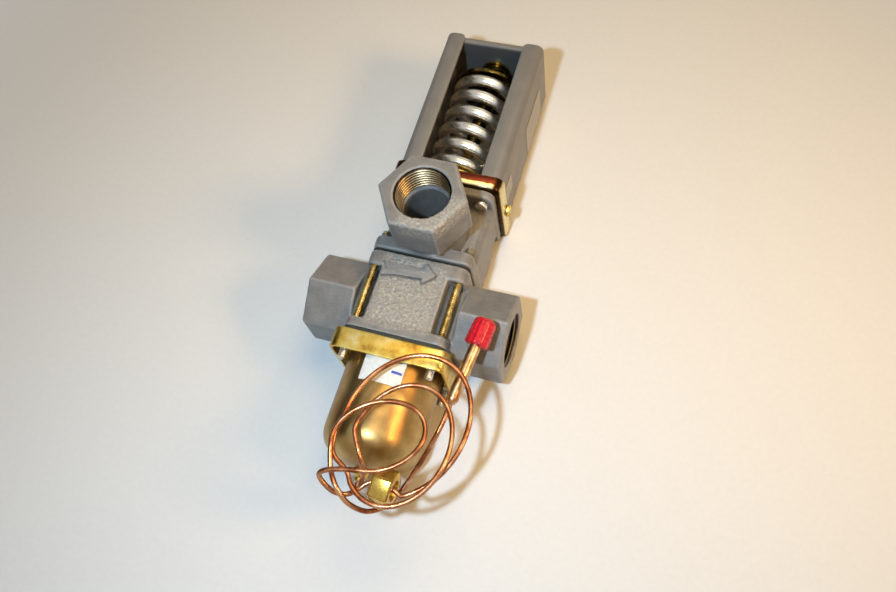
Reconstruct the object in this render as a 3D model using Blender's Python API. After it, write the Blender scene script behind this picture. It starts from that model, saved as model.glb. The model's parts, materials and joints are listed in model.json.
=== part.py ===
"""Three-way pressure-actuated water valve lying on its back, with its front port upward.

The valve axis runs along Y: the range spring is at +Y and the bellows cup at -Y.
Heights called DEPTH or FRONT are measured from the valve axis, which lies AXIS_HEIGHT above the table.
"""

import math

import bmesh
import bpy
from mathutils import Matrix, Vector

MM = 0.001
GAP = 0.3 * MM

# How far a cutter, or a solid that is joined to another, runs past the face it meets
OVERRUN = 1.0 * MM

# Ports, 1 in pipe thread
HEX_FLATS = 44.45 * MM
HEX_CHAMFER = 1.2 * MM
PORT_MOUTH_RADIUS = 15.95 * MM
PORT_THREAD_DEPTH = 18.0 * MM
PORT_TAPER = 0.6 * MM
PORT_STEP = 0.8 * MM
PORT_BORE_RADIUS = 13.5 * MM
SIDE_PORT_REACH = 59.0 * MM
SIDE_PORT_Y = -1.6 * MM
SIDE_PORT_BORE_END = 20.0 * MM
SIDE_HEX_ROOT = 17.0 * MM
FRONT_PORT_REACH = 62.0 * MM
FRONT_PORT_Y = 46.6 * MM
FRONT_PORT_BORE_END = 2.0 * MM
FRONT_HEX_BACK = 35.0 * MM
NECK_RADIUS = 20.3 * MM
NECK_ROOT = 5.0 * MM

# Long bolts through the bellows tray and the lower casting into the upper casting
BOLT_X = 25.0 * MM
BOLT_Z = 23.0 * MM
BOLT_RADIUS = 2.4 * MM
BOLT_POINT = 0.6 * MM
BOLT_CLEARANCE = 0.4 * MM
BOLT_STAND = 4.0 * MM
BOLT_HEAD_FLATS = 8.0 * MM
BOLT_HEAD_HEIGHT = 3.6 * MM

# Castings
FLANGE_HALF_WIDTH = BOLT_X + 4.5 * MM
FLANGE_HALF_DEPTH = BOLT_Z + 5.0 * MM
FLANGE_CORNER = 6.0 * MM
FLANGE_EDGE = 0.8 * MM
HEX_MARGIN = 0.575 * MM
LOWER_BOTTOM_Y = SIDE_PORT_Y - HEX_FLATS / 2 - HEX_MARGIN
LOWER_TOP_Y = 24.0 * MM
LOWER_FLANGE_THICKNESS = 6.5 * MM
JOINT_FLANGE_THICKNESS = 9.3 * MM
LOWER_FLANGE_TOP_Y = LOWER_BOTTOM_Y + LOWER_FLANGE_THICKNESS
JOINT_FLANGE_BOTTOM_Y = LOWER_TOP_Y - JOINT_FLANGE_THICKNESS
BLOCK_HALF_WIDTH = 27.0 * MM
BLOCK_HALF_DEPTH = 27.5 * MM
RECESS_INNER_X = BOLT_X - 5.5 * MM
RECESS_INNER_Z = BOLT_Z - 6.0 * MM
RECESS_OUTER_X = BOLT_X + 5.2 * MM
RECESS_RADIUS = 3.5 * MM
GASKET_THICKNESS = 0.8 * MM
GASKET_INSET = 0.4 * MM
GASKET_HOLE_RADIUS = 11.5 * MM
UPPER_BOTTOM_Y = LOWER_TOP_Y + GASKET_THICKNESS + 2 * GAP
UPPER_FLANGE_THICKNESS = 8.1 * MM
UPPER_FLANGE_TOP_Y = UPPER_BOTTOM_Y + UPPER_FLANGE_THICKNESS
UPPER_LEDGE_Y = 69.0 * MM
TOP_FLANGE_THICKNESS = 5.4 * MM
UPPER_TOP_Y = UPPER_LEDGE_Y + TOP_FLANGE_THICKNESS
BODY_HALF_WIDTH = 29.0 * MM
BODY_FRONT = 16.0 * MM
BODY_BACK = -27.0 * MM
BOLT_TIP_Y = UPPER_FLANGE_TOP_Y + BOLT_STAND

# Water passages
WELL_RADIUS = 14.0 * MM
WEB_BOTTOM_Y = -4.0 * MM
WEB_TOP_Y = 3.5 * MM
PASSAGE_HALF_DEPTH = 9.0 * MM
PASSAGE_INNER_X = 6.0 * MM
PASSAGE_OUTER_X = 24.0 * MM
PASSAGE_STEP = 0.5 * MM
INLET_TOP_Y = 12.0 * MM
OUTLET_BOTTOM_Y = -14.0 * MM
UPPER_WELL_BOTTOM_Y = UPPER_BOTTOM_Y + 4.1 * MM
UPPER_WELL_TOP_Y = UPPER_LEDGE_Y - 4.0 * MM
SEAT_HOLE_RADIUS = 10.5 * MM
SEAT_BORE_RADIUS = 7.8 * MM
SEAT_RISE = 1.6 * MM
SEAT_DROP = 1.0 * MM

# Pressed trays: the saddle above the castings and the bellows tray below them
TRAY_HALF_WIDTH = FLANGE_HALF_WIDTH + 3.8 * MM
TRAY_HALF_DEPTH = FLANGE_HALF_DEPTH + 1.5 * MM
TRAY_SHEET = 1.8 * MM
TRAY_CORNER = 6.0 * MM
TRAY_BEND = 1.4 * MM
TRAY_BEND_START = 0.4 * MM
SADDLE_RIM = 8.1 * MM
SADDLE_HOLE_RADIUS = 12.0 * MM
SADDLE_BOTTOM_Y = UPPER_TOP_Y + GAP
SADDLE_FLOOR_Y = SADDLE_BOTTOM_Y + TRAY_SHEET
SADDLE_TOP_Y = SADDLE_BOTTOM_Y + SADDLE_RIM
BELLOWS_RIM = 12.2 * MM
BELLOWS_TRAY_TOP_Y = LOWER_BOTTOM_Y - GASKET_THICKNESS - 2 * GAP
BELLOWS_TRAY_BOTTOM_Y = BELLOWS_TRAY_TOP_Y - BELLOWS_RIM
CUP_RIM_Y = BELLOWS_TRAY_TOP_Y - TRAY_SHEET - GAP
TOP_FLANGE_HALF_WIDTH = TRAY_HALF_WIDTH - 3.3 * MM
TOP_FLANGE_HALF_DEPTH = TRAY_HALF_DEPTH - 2.0 * MM
AXIS_HEIGHT = TRAY_HALF_DEPTH

# Spring housing, a folded sheet that stands in the saddle
HOUSING_HALF_WIDTH = TRAY_HALF_WIDTH - TRAY_SHEET - GAP
HOUSING_HALF_DEPTH = TRAY_HALF_DEPTH - TRAY_SHEET - GAP
HOUSING_SHEET = 2.0 * MM
HOUSING_BEND = 3.6 * MM
HOUSING_LIP = 12.3 * MM
HOUSING_BOTTOM_Y = SADDLE_FLOOR_Y + GAP
END_WALL_SET_BACK = 1.2 * MM
END_WALL_HEM = 10.0 * MM

# Range spring, its follower and its guide
SPRING_WIRE = 7.1 * MM
SPRING_CLEARANCE = 2.75 * MM
SPRING_LENGTH = 71.4 * MM
SPRING_TURNS = 5.69
SPRING_END_TURN = 0.45
SPRING_POINTS_PER_TURN = 10
SPRING_START_DEG = -67.0
SPRING_OUTER_RADIUS = HOUSING_HALF_DEPTH - HOUSING_SHEET - SPRING_CLEARANCE
SPRING_MEAN_RADIUS = SPRING_OUTER_RADIUS - SPRING_WIRE / 2
SEAT_PLATE_RADIUS = SPRING_OUTER_RADIUS - 0.25 * MM
SEAT_PLATE_THICKNESS = 2.4 * MM
FOLLOWER_HUB_RADIUS = 8.0 * MM
FOLLOWER_HUB_DEPTH = 5.5 * MM
FOLLOWER_STAND = 3.8 * MM
FOLLOWER_ROOF = 2.2 * MM
GUIDE_HUB_RADIUS = 9.5 * MM
GUIDE_HUB_HEIGHT = 11.0 * MM
GUIDE_ROOM = 0.4 * MM
FOLLOWER_UNDER_Y = SADDLE_FLOOR_Y + FOLLOWER_STAND + FOLLOWER_HUB_DEPTH
SPRING_BOTTOM_Y = FOLLOWER_UNDER_Y + SEAT_PLATE_THICKNESS + GAP
SPRING_TOP_Y = SPRING_BOTTOM_Y + SPRING_LENGTH
GUIDE_BASE_Y = SPRING_TOP_Y + GAP
GUIDE_CROWN_Y = GUIDE_BASE_Y + SEAT_PLATE_THICKNESS + GUIDE_HUB_HEIGHT

# Adjusting screw, 3/8-16 thread, with its collar and washer under the housing's end wall
SCREW_RADIUS = 4.7 * MM
SCREW_POINT = 1.2 * MM
SCREW_REACH = 48.2 * MM
SCREW_HOLE_CLEARANCE = 0.5 * MM
SCREW_HEAD_FLATS = 9.5 * MM
SCREW_HEAD_LENGTH = 12.5 * MM
SCREW_HEAD_EDGE = 0.7 * MM
SCREW_COLLAR_RADIUS = 8.0 * MM
SCREW_COLLAR_HEIGHT = 3.0 * MM
WASHER_RADIUS = 9.5 * MM
WASHER_THICKNESS = 1.2 * MM
SCREW_BOTTOM_Y = GUIDE_BASE_Y - SCREW_REACH
COLLAR_LOW_Y = GUIDE_CROWN_Y + GUIDE_ROOM
COLLAR_TOP_Y = COLLAR_LOW_Y + SCREW_COLLAR_HEIGHT
WASHER_LOW_Y = COLLAR_TOP_Y + GAP
WASHER_TOP_Y = WASHER_LOW_Y + WASHER_THICKNESS
END_WALL_UNDER_Y = WASHER_TOP_Y + GAP
END_WALL_TOP_Y = END_WALL_UNDER_Y + HOUSING_SHEET
HOUSING_TOP_Y = END_WALL_TOP_Y + END_WALL_SET_BACK

# Bellows and cup
BELLOWS_LENGTH = 52.1 * MM
BELLOWS_CLEARANCE = 3.4 * MM
BELLOWS_FOLD_DEPTH = 5.0 * MM
BELLOWS_SHEET = 0.8 * MM
BELLOWS_FOLDS = 7
PLUG_RADIUS = 12.0 * MM
PLUG_THICKNESS = 4.0 * MM
CUP_SHEET = 1.0 * MM
CUP_ROOM = 13.0 * MM
CUP_CORNER = 14.0 * MM
CUP_RADIUS = TRAY_HALF_DEPTH - TRAY_SHEET - GAP
BELLOWS_OUTER = CUP_RADIUS - CUP_SHEET - BELLOWS_CLEARANCE
BELLOWS_ROOT = BELLOWS_OUTER - BELLOWS_FOLD_DEPTH
BELLOWS_END_Y = CUP_RIM_Y - BELLOWS_LENGTH
PLUG_LOW_Y = BELLOWS_END_Y + BELLOWS_SHEET + GAP
CUP_END_Y = BELLOWS_END_Y - CUP_ROOM - CUP_SHEET

# Stem, from the bellows plug to the spring follower, with its discs and bushes
STEM_RADIUS = 3.5 * MM
STEM_EDGE = 0.8 * MM
STEM_LIFT = 6.3 * MM
STEM_BOTTOM_Y = PLUG_LOW_Y + PLUG_THICKNESS + GAP
STEM_TOP_Y = SPRING_BOTTOM_Y - GAP - FOLLOWER_ROOF - GAP
DISC_RADIUS = 10.0 * MM
DISC_THICKNESS = 5.0 * MM
DISC_MARGIN = 0.5 * MM
BUSH_RADIUS = 5.9 * MM
BUSH_DROP = 3.0 * MM

# Small screws
FLANGE_SCREW_X = HOUSING_HALF_WIDTH - HOUSING_SHEET - 6.2 * MM
FLANGE_SCREW_Z = HOUSING_HALF_DEPTH - HOUSING_SHEET - 4.9 * MM
FLANGE_SCREW_RADIUS = 2.0 * MM
FLANGE_SCREW_HEAD_RADIUS = 3.7 * MM
FLANGE_SCREW_HEAD_HEIGHT = 2.8 * MM
FLANGE_SCREW_STAND = 3.5 * MM
SCREW_POCKET = 4.4 * MM
SCREW_POCKET_HEIGHT = 11.0 * MM
SIDE_SCREW_RISE = 5.3 * MM
SIDE_SCREW_Z = -2.0 * MM
SIDE_SCREW_RADIUS = 1.9 * MM
SIDE_SCREW_HEAD_RADIUS = 3.6 * MM
SIDE_SCREW_HEAD_HEIGHT = 2.2 * MM
SIDE_SCREW_REACH = 1.7 * MM
SCREW_HEAD_ROUND = 1.2 * MM
SIDE_SCREW_Y = SADDLE_BOTTOM_Y + SIDE_SCREW_RISE
SIDE_SCREW_TIP_X = HOUSING_HALF_WIDTH - HOUSING_SHEET - SIDE_SCREW_REACH

# Capillary tube, 3/32 in, with its ferrule, flare nut, 1/4 in stub and cap
CAPILLARY_DIAMETER = 2.4 * MM
FERRULE_RADIUS = 4.6 * MM
FERRULE_LENGTH = 6.0 * MM
FERRULE_NOSE_RADIUS = 2.6 * MM
FERRULE_NOSE_LENGTH = 2.5 * MM
FERRULE_SHOULDER = 1.0 * MM
LOOP_POINTS = 24
STUB_RADIUS = 3.175 * MM
STUB_BORE_RADIUS = 2.4 * MM
STUB_NECK_RADIUS = 2.2 * MM
STUB_NECK_LENGTH = 1.6 * MM
STUB_FLOOR = 4.0 * MM
STUB_FOOT = (41.4 * MM, -53.2 * MM, 26.5 * MM)
STUB_HEAD = (48.0 * MM, -7.9 * MM, 33.2 * MM)
CAP_RADIUS = 6.3 * MM
CAP_LENGTH = 15.5 * MM
CAP_WALL = 2.4 * MM
CAP_TOP_RADIUS = 5.5 * MM
CAP_ROUND = 1.6 * MM
NUT_FLATS = 17.46 * MM
NUT_LENGTH = 11.0 * MM
NUT_THREAD_RADIUS = 5.5 * MM
NUT_NECK_RADIUS = 3.4 * MM
NUT_CENTRE = (22.0 * MM, -103.6 * MM, 28.0 * MM)
NUT_TURN_DEG = -5.0
NUT_ROLL_DEG = 18.0
NUT_EDGE = 0.9 * MM
NUT_THREAD_DEPTH = 8.0 * MM
NUT_HANG = 1.7 * MM

# Plan loops of the capillary in mm: centre, half-axes, tilt of the first axis in degrees,
# the angles it runs between, and its height at each end
MIDDLE_LOOP = {
    "centre": (24.2, -82.0),
    "half": (25.3, 32.5),
    "tilt": -10.0,
    "turn": (184.0, -134.0),
    "height": (34.0, 36.2),
}
OUTER_LOOP = {
    "centre": (23.9, -71.0),
    "half": (30.4, 38.6),
    "tilt": -18.4,
    "turn": (202.0, -52.0),
    "height": (39.0, 29.6),
}
INNER_LOOP = {
    "centre": (14.4, -82.4),
    "half": (24.2, 17.6),
    "tilt": 27.6,
    "turn": (-144.0, 176.0),
    "height": (44.0, 42.0),
}
LEAD_FROM_CUP = (
    (0.0, -105.2, 2.2),
    (3.0, -107.0, 9.5),
    (7.0, -105.0, 19.0),
    (8.6, -98.5, 27.5),
    (4.6, -90.5, 32.8),
)
LEAD_TO_OUTER_LOOP = ((-6.6, -95.5, 36.4), (-9.0, -86.0, 37.6))
LEAD_FROM_NUT = (
    (10.0, -108.0, 29.8),
    (5.5, -112.4, 31.6),
    (-0.5, -113.2, 33.6),
    (-6.2, -110.6, 37.0),
    (-8.6, -107.4, 40.4),
    (-6.6, -105.4, 43.0),
)
LEAD_TO_STUB = (
    (-6.4, -97.5, 40.8),
    (-3.8, -104.5, 39.2),
    (1.5, -111.5, 38.6),
    (8.0, -116.5, 32.0),
    (16.0, -116.0, 20.0),
    (24.0, -108.0, 13.5),
    (29.0, -97.5, 14.5),
    (33.8, -86.0, 19.5),
    (37.6, -74.5, 23.0),
    (40.0, -64.0, 25.0),
)

# Length of the whole valve, for centring it on the origin
HEAD_TOP_Y = END_WALL_TOP_Y + GAP + SCREW_HEAD_LENGTH
FERRULE_END_Y = CUP_END_Y - GAP - FERRULE_LENGTH
CENTRE_Y = (HEAD_TOP_Y + FERRULE_END_Y) / 2

FINISHES = {
    "grey casting paint": ((0.19, 0.18, 0.17, 1), 0.0, 0.5),
    "grey sheet paint": ((0.23, 0.21, 0.19, 1), 0.0, 0.45),
    "yellow chromate": ((0.75, 0.55, 0.16, 1), 0.9, 0.3),
    "bright zinc": ((0.72, 0.73, 0.74, 1), 1.0, 0.22),
    "brass": ((0.72, 0.52, 0.2, 1), 1.0, 0.28),
    "copper": ((0.72, 0.36, 0.2, 1), 1.0, 0.3),
    "black rubber": ((0.02, 0.02, 0.02, 1), 0.0, 0.7),
    "red vinyl": ((0.7, 0.03, 0.05, 1), 0.0, 0.35),
    "stainless steel": ((0.6, 0.6, 0.6, 1), 1.0, 0.35),
}


def finish(name):
    """The material of that name, made once."""
    if name in bpy.data.materials:
        return bpy.data.materials[name]
    colour, metallic, roughness = FINISHES[name]
    material = bpy.data.materials.new(name)
    material.use_nodes = True
    shader = material.node_tree.nodes["Principled BSDF"]
    shader.inputs["Base Color"].default_value = colour
    shader.inputs["Metallic"].default_value = metallic
    shader.inputs["Roughness"].default_value = roughness
    return material


def piece(name, shape, material=None):
    """An object from a bmesh, with its faces turned outward, in the valve's own frame."""
    bmesh.ops.recalc_face_normals(shape, faces=shape.faces)
    mesh = bpy.data.meshes.new(name)
    shape.to_mesh(mesh)
    shape.free()
    made = bpy.data.objects.new(name, mesh)
    bpy.context.scene.collection.objects.link(made)
    made.parent = AXIS
    if material:
        mesh.materials.append(finish(material))
    return made


def combine(target, tool, operation):
    """Join the tool to the target, or cut it out of it, and remove the tool."""
    change = target.modifiers.new(operation.lower(), "BOOLEAN")
    change.operation = operation
    change.object = tool
    bpy.context.view_layer.objects.active = target
    bpy.ops.object.modifier_apply(modifier=change.name)
    bpy.data.objects.remove(tool)


def join(target, *tools):
    for tool in tools:
        combine(target, tool, "UNION")


def cut(target, *tools):
    for tool in tools:
        combine(target, tool, "DIFFERENCE")


def smooth(made, angle=35.0):
    made.data.shade_smooth()
    made.data.set_sharp_from_angle(angle=math.radians(angle))


def arc(centre, radius, start, end, steps):
    """Points of an arc in a plane, both ends included; angles in degrees."""
    turns = [math.radians(start + (end - start) * i / steps) for i in range(steps + 1)]
    return [(centre[0] + radius * math.cos(t), centre[1] + radius * math.sin(t)) for t in turns]


def rounded_rectangle(half_a, half_b, radius, steps=4):
    points = []
    for k, (side_a, side_b) in enumerate(((1, 1), (-1, 1), (-1, -1), (1, -1))):
        centre = (side_a * (half_a - radius), side_b * (half_b - radius))
        points += arc(centre, radius, 90 * k, 90 * k + 90, steps)
    return points


def hexagon(flats, first_corner, inset=0.0):
    radius = flats / math.sqrt(3) - inset
    return arc((0, 0), radius, first_corner, first_corner + 300, 5)


def circle(radius, sides):
    return arc((0, 0), radius, 0, 360 - 360 / sides, sides - 1)


AXES = {
    "X": lambda a, b, t: (t, a, b),
    "Y": lambda a, b, t: (a, t, b),
    "Z": lambda a, b, t: (a, b, t),
}


def loft(axis, sections):
    """A closed solid through outlines with the same number of points, each at its place on the axis."""
    shape = bmesh.new()
    place = AXES[axis]
    rings = [[shape.verts.new(place(a, b, t)) for a, b in outline] for t, outline in sections]
    for low, high in zip(rings, rings[1:]):
        for i in range(len(low)):
            j = (i + 1) % len(low)
            shape.faces.new((low[i], low[j], high[j], high[i]))
    shape.faces.new(rings[0])
    shape.faces.new(rings[-1])
    return shape


def prism(axis, outline, low, high):
    return loft(axis, ((low, outline), (high, outline)))


def shifted(outline, a=0.0, b=0.0):
    return [(p + a, q + b) for p, q in outline]


def turned(axis, profile, sides, closed=False):
    """A turned solid: the profile is (radius, place on the axis), from the axis to the axis unless closed."""
    shape = bmesh.new()
    place = AXES[axis]
    rings = []
    for radius, along in profile:
        if radius == 0:
            rings.append([shape.verts.new(place(0, 0, along))])
        else:
            rings.append([shape.verts.new(place(a, b, along)) for a, b in circle(radius, sides)])
    pairs = list(zip(rings, rings[1:]))
    if closed:
        pairs.append((rings[-1], rings[0]))
    for low, high in pairs:
        for i in range(sides):
            j = (i + 1) % sides
            corners = [low[i % len(low)], low[j % len(low)], high[j % len(high)], high[i % len(high)]]
            shape.faces.new(list(dict.fromkeys(corners)))
    return shape


def ring(axis, inner, outer, low, high, sides):
    return turned(axis, ((inner, low), (outer, low), (outer, high), (inner, high)), sides, closed=True)


def rod(axis, radius, low, high, sides, a=0.0, b=0.0):
    return prism(axis, shifted(circle(radius, sides), a, b), low, high)


def box(low, high):
    outline = ((low[0], low[1]), (high[0], low[1]), (high[0], high[1]), (low[0], high[1]))
    return prism("Z", outline, low[2], high[2])


def corners(x, z):
    """The four places of a rectangular pattern, with a name for each."""
    return (("left_front", -x, z), ("right_front", x, z), ("left_back", -x, -z), ("right_back", x, -z))


def tool(shape):
    return piece("tool", shape)


def port_cutter(axis, side, reach, inner_end):
    """The threaded mouth, which tapers, and the plain bore behind it."""
    profile = (
        (0, side * (reach + OVERRUN)),
        (PORT_MOUTH_RADIUS, side * (reach + OVERRUN)),
        (PORT_MOUTH_RADIUS, side * (reach - HEX_CHAMFER)),
        (PORT_MOUTH_RADIUS - PORT_TAPER, side * (reach - PORT_THREAD_DEPTH)),
        (PORT_BORE_RADIUS, side * (reach - PORT_THREAD_DEPTH - PORT_STEP)),
        (PORT_BORE_RADIUS, side * inner_end),
        (0, side * inner_end),
    )
    return turned(axis, profile, 28)


def hex_boss(axis, flats, first_corner, back, face, a, b):
    """A hexagon boss with a chamfered face; its outline's centre is at a, b."""
    step = math.copysign(HEX_CHAMFER, face - back)
    full = shifted(hexagon(flats, first_corner), a, b)
    small = shifted(hexagon(flats, first_corner, HEX_CHAMFER), a, b)
    return loft(axis, ((back, full), (face - step, full), (face, small)))


def corner_recess(inner_x, inner_z, outer_x, side_x, side_z):
    """Plan of a recess at one corner of a casting, with a rounded inner corner."""
    bend = arc((inner_x + RECESS_RADIUS, inner_z + RECESS_RADIUS), RECESS_RADIUS, 180, 270, 4)
    past = FLANGE_HALF_DEPTH + RECESS_RADIUS
    outline = [(inner_x, past), *bend, (outer_x, inner_z), (outer_x, past)]
    return [(side_x * x, side_z * z) for x, z in outline]


def flange(low, high, half_width, half_depth):
    edge = FLANGE_EDGE
    outline = rounded_rectangle(half_width, half_depth, FLANGE_CORNER)
    small = rounded_rectangle(half_width - edge, half_depth - edge, FLANGE_CORNER - edge)
    return loft("Y", ((low, small), (low + edge, outline), (high - edge, outline), (high, small)))


def bolt_holes(target, low, high):
    for _, x, z in corners(BOLT_X, BOLT_Z):
        cut(target, tool(rod("Y", BOLT_RADIUS + BOLT_CLEARANCE, low, high, 12, x, z)))


def make_lower_casting():
    block = rounded_rectangle(BLOCK_HALF_WIDTH, BLOCK_HALF_DEPTH, FLANGE_CORNER)
    block_low = LOWER_FLANGE_TOP_Y - OVERRUN
    block_high = JOINT_FLANGE_BOTTOM_Y + OVERRUN
    casting = piece("lower_casting", prism("Y", block, block_low, block_high), "grey casting paint")
    join(
        casting,
        tool(flange(LOWER_BOTTOM_Y, LOWER_FLANGE_TOP_Y, FLANGE_HALF_WIDTH, FLANGE_HALF_DEPTH)),
        tool(flange(JOINT_FLANGE_BOTTOM_Y, LOWER_TOP_Y, FLANGE_HALF_WIDTH, FLANGE_HALF_DEPTH)),
    )
    for side in (-1, 1):
        root, reach = side * SIDE_HEX_ROOT, side * SIDE_PORT_REACH
        join(casting, tool(hex_boss("X", HEX_FLATS, 30, root, reach, SIDE_PORT_Y, 0)))
    for side_x in (-1, 1):
        for side_z in (-1, 1):
            plan = corner_recess(RECESS_INNER_X, RECESS_INNER_Z, RECESS_OUTER_X, side_x, side_z)
            cut(casting, tool(prism("Y", plan, LOWER_FLANGE_TOP_Y, JOINT_FLANGE_BOTTOM_Y)))
    for side in (-1, 1):
        bore = port_cutter("X", side, SIDE_PORT_REACH, SIDE_PORT_BORE_END)
        bmesh.ops.translate(bore, verts=bore.verts, vec=(0, SIDE_PORT_Y, 0))
        cut(casting, tool(bore))
    inlet_low = (-PASSAGE_OUTER_X, WEB_TOP_Y + PASSAGE_STEP, -PASSAGE_HALF_DEPTH)
    inlet_high = (-PASSAGE_INNER_X, INLET_TOP_Y, PASSAGE_HALF_DEPTH)
    outlet_low = (PASSAGE_INNER_X, OUTLET_BOTTOM_Y, -PASSAGE_HALF_DEPTH)
    outlet_high = (PASSAGE_OUTER_X, WEB_BOTTOM_Y - PASSAGE_STEP, PASSAGE_HALF_DEPTH)
    cut(
        casting,
        tool(rod("Y", WELL_RADIUS, WEB_TOP_Y, LOWER_TOP_Y + OVERRUN, 24)),
        tool(rod("Y", WELL_RADIUS, LOWER_BOTTOM_Y - OVERRUN, WEB_BOTTOM_Y, 24)),
        tool(rod("Y", SEAT_HOLE_RADIUS, WEB_BOTTOM_Y - OVERRUN, WEB_TOP_Y + OVERRUN, 24)),
        tool(box(inlet_low, inlet_high)),
        tool(box(outlet_low, outlet_high)),
    )
    bolt_holes(casting, LOWER_BOTTOM_Y - OVERRUN, LOWER_TOP_Y + OVERRUN)
    return casting


def make_upper_casting():
    middle = (BODY_FRONT + BODY_BACK) / 2
    half_depth = (BODY_FRONT - BODY_BACK) / 2
    outline = shifted(rounded_rectangle(BODY_HALF_WIDTH, half_depth, FLANGE_CORNER), 0, middle)
    body_low = UPPER_FLANGE_TOP_Y - OVERRUN
    body = prism("Y", outline, body_low, UPPER_LEDGE_Y + OVERRUN)
    casting = piece("upper_casting", body, "grey casting paint")
    neck = rod("Z", NECK_RADIUS, NECK_ROOT, FRONT_HEX_BACK + OVERRUN, 28, 0, FRONT_PORT_Y)
    join(
        casting,
        tool(flange(UPPER_BOTTOM_Y, UPPER_FLANGE_TOP_Y, FLANGE_HALF_WIDTH, FLANGE_HALF_DEPTH)),
        tool(flange(UPPER_LEDGE_Y, UPPER_TOP_Y, TOP_FLANGE_HALF_WIDTH, TOP_FLANGE_HALF_DEPTH)),
        tool(neck),
        tool(hex_boss("Z", HEX_FLATS, 0, FRONT_HEX_BACK, FRONT_PORT_REACH, 0, FRONT_PORT_Y)),
    )
    bore = port_cutter("Z", 1, FRONT_PORT_REACH, FRONT_PORT_BORE_END)
    bmesh.ops.translate(bore, verts=bore.verts, vec=(0, FRONT_PORT_Y, 0))
    cut(
        casting,
        tool(bore),
        tool(rod("Y", WELL_RADIUS, UPPER_WELL_BOTTOM_Y, UPPER_WELL_TOP_Y, 24)),
        tool(rod("Y", SEAT_HOLE_RADIUS, UPPER_BOTTOM_Y - OVERRUN, UPPER_WELL_BOTTOM_Y + OVERRUN, 24)),
        tool(rod("Y", BUSH_RADIUS + GAP, UPPER_WELL_TOP_Y - OVERRUN, UPPER_TOP_Y + OVERRUN, 20)),
    )
    bolt_holes(casting, UPPER_BOTTOM_Y - OVERRUN, BOLT_TIP_Y + OVERRUN)
    inner_x = FLANGE_SCREW_X - SCREW_POCKET
    inner_z = FLANGE_SCREW_Z - SCREW_POCKET
    for side in (-1, 1):
        plan = corner_recess(inner_x, inner_z, BODY_HALF_WIDTH + OVERRUN, side, -1)
        cut(casting, tool(prism("Y", plan, UPPER_LEDGE_Y - SCREW_POCKET_HEIGHT, UPPER_LEDGE_Y)))
    for _, x, z in corners(FLANGE_SCREW_X, FLANGE_SCREW_Z):
        radius = FLANGE_SCREW_RADIUS + BOLT_CLEARANCE
        cut(casting, tool(rod("Y", radius, UPPER_LEDGE_Y - OVERRUN, UPPER_TOP_Y + OVERRUN, 12, x, z)))
    return casting


def gasket(name, low, hole):
    half_width = FLANGE_HALF_WIDTH - GASKET_INSET
    half_depth = FLANGE_HALF_DEPTH - GASKET_INSET
    outline = rounded_rectangle(half_width, half_depth, FLANGE_CORNER)
    high = low + GASKET_THICKNESS
    sheet = piece(name, prism("Y", outline, low, high), "black rubber")
    cut(sheet, tool(rod("Y", hole, low - OVERRUN, high + OVERRUN, 24)))
    bolt_holes(sheet, low - OVERRUN, high + OVERRUN)
    return sheet


def make_trim_inside():
    """Seats, stem, discs and bushes."""
    seat_outer = SEAT_HOLE_RADIUS - GAP
    lower_top = WEB_TOP_Y + SEAT_RISE
    upper_bottom = UPPER_BOTTOM_Y - SEAT_DROP
    seats = (
        ("lower_seat", WEB_BOTTOM_Y, lower_top),
        ("upper_seat", upper_bottom, UPPER_WELL_BOTTOM_Y),
    )
    for name, low, high in seats:
        smooth(piece(name, ring("Y", SEAT_BORE_RADIUS, seat_outer, low, high, 24), "stainless steel"))
    disc_bore = STEM_RADIUS + GAP
    discs = (
        ("lower_disc", lower_top + GAP),
        ("upper_disc", upper_bottom - STEM_LIFT - DISC_MARGIN - DISC_THICKNESS),
    )
    for name, low in discs:
        smooth(piece(name, ring("Y", disc_bore, DISC_RADIUS, low, low + DISC_THICKNESS, 24), "black rubber"))
    stem = turned(
        "Y",
        (
            (0, STEM_BOTTOM_Y),
            (STEM_RADIUS - STEM_EDGE, STEM_BOTTOM_Y),
            (STEM_RADIUS, STEM_BOTTOM_Y + STEM_EDGE),
            (STEM_RADIUS, STEM_TOP_Y - STEM_EDGE),
            (STEM_RADIUS - STEM_EDGE, STEM_TOP_Y),
            (0, STEM_TOP_Y),
        ),
        16,
    )
    smooth(piece("valve_stem", stem, "stainless steel"))
    upper = ring("Y", disc_bore, BUSH_RADIUS, UPPER_WELL_TOP_Y, UPPER_TOP_Y, 20)
    smooth(piece("upper_stem_bush", upper, "brass"))
    bush_low = BELLOWS_TRAY_TOP_Y - TRAY_SHEET - BUSH_DROP
    lower = ring("Y", disc_bore, BUSH_RADIUS, bush_low, BELLOWS_TRAY_TOP_Y, 20)
    smooth(piece("lower_stem_bush", lower, "brass"))


def tray_outline(inset):
    return rounded_rectangle(TRAY_HALF_WIDTH - inset, TRAY_HALF_DEPTH - inset, TRAY_CORNER - inset, 5)


def tray(name, base, rim, hole):
    """A pressed tray with a turned-up rim: base and rim are places on the valve axis."""
    side = math.copysign(1, rim - base)
    sections = (
        (base, tray_outline(TRAY_BEND)),
        (base + side * TRAY_BEND_START, tray_outline(TRAY_BEND_START)),
        (base + side * TRAY_BEND, tray_outline(0)),
        (rim, tray_outline(0)),
    )
    made = piece(name, loft("Y", sections), "yellow chromate")
    floor = base + side * TRAY_SHEET
    cut(
        made,
        tool(prism("Y", tray_outline(TRAY_SHEET), floor, rim + side * OVERRUN)),
        tool(rod("Y", hole, base - side * OVERRUN, floor + side * OVERRUN, 24)),
    )
    return made


def side_screw_hole(target, side):
    radius = SIDE_SCREW_RADIUS + BOLT_CLEARANCE
    inner = side * (SIDE_SCREW_TIP_X - OVERRUN)
    outer = side * (TRAY_HALF_WIDTH + OVERRUN)
    cut(target, tool(rod("X", radius, inner, outer, 12, SIDE_SCREW_Y, SIDE_SCREW_Z)))


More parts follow.
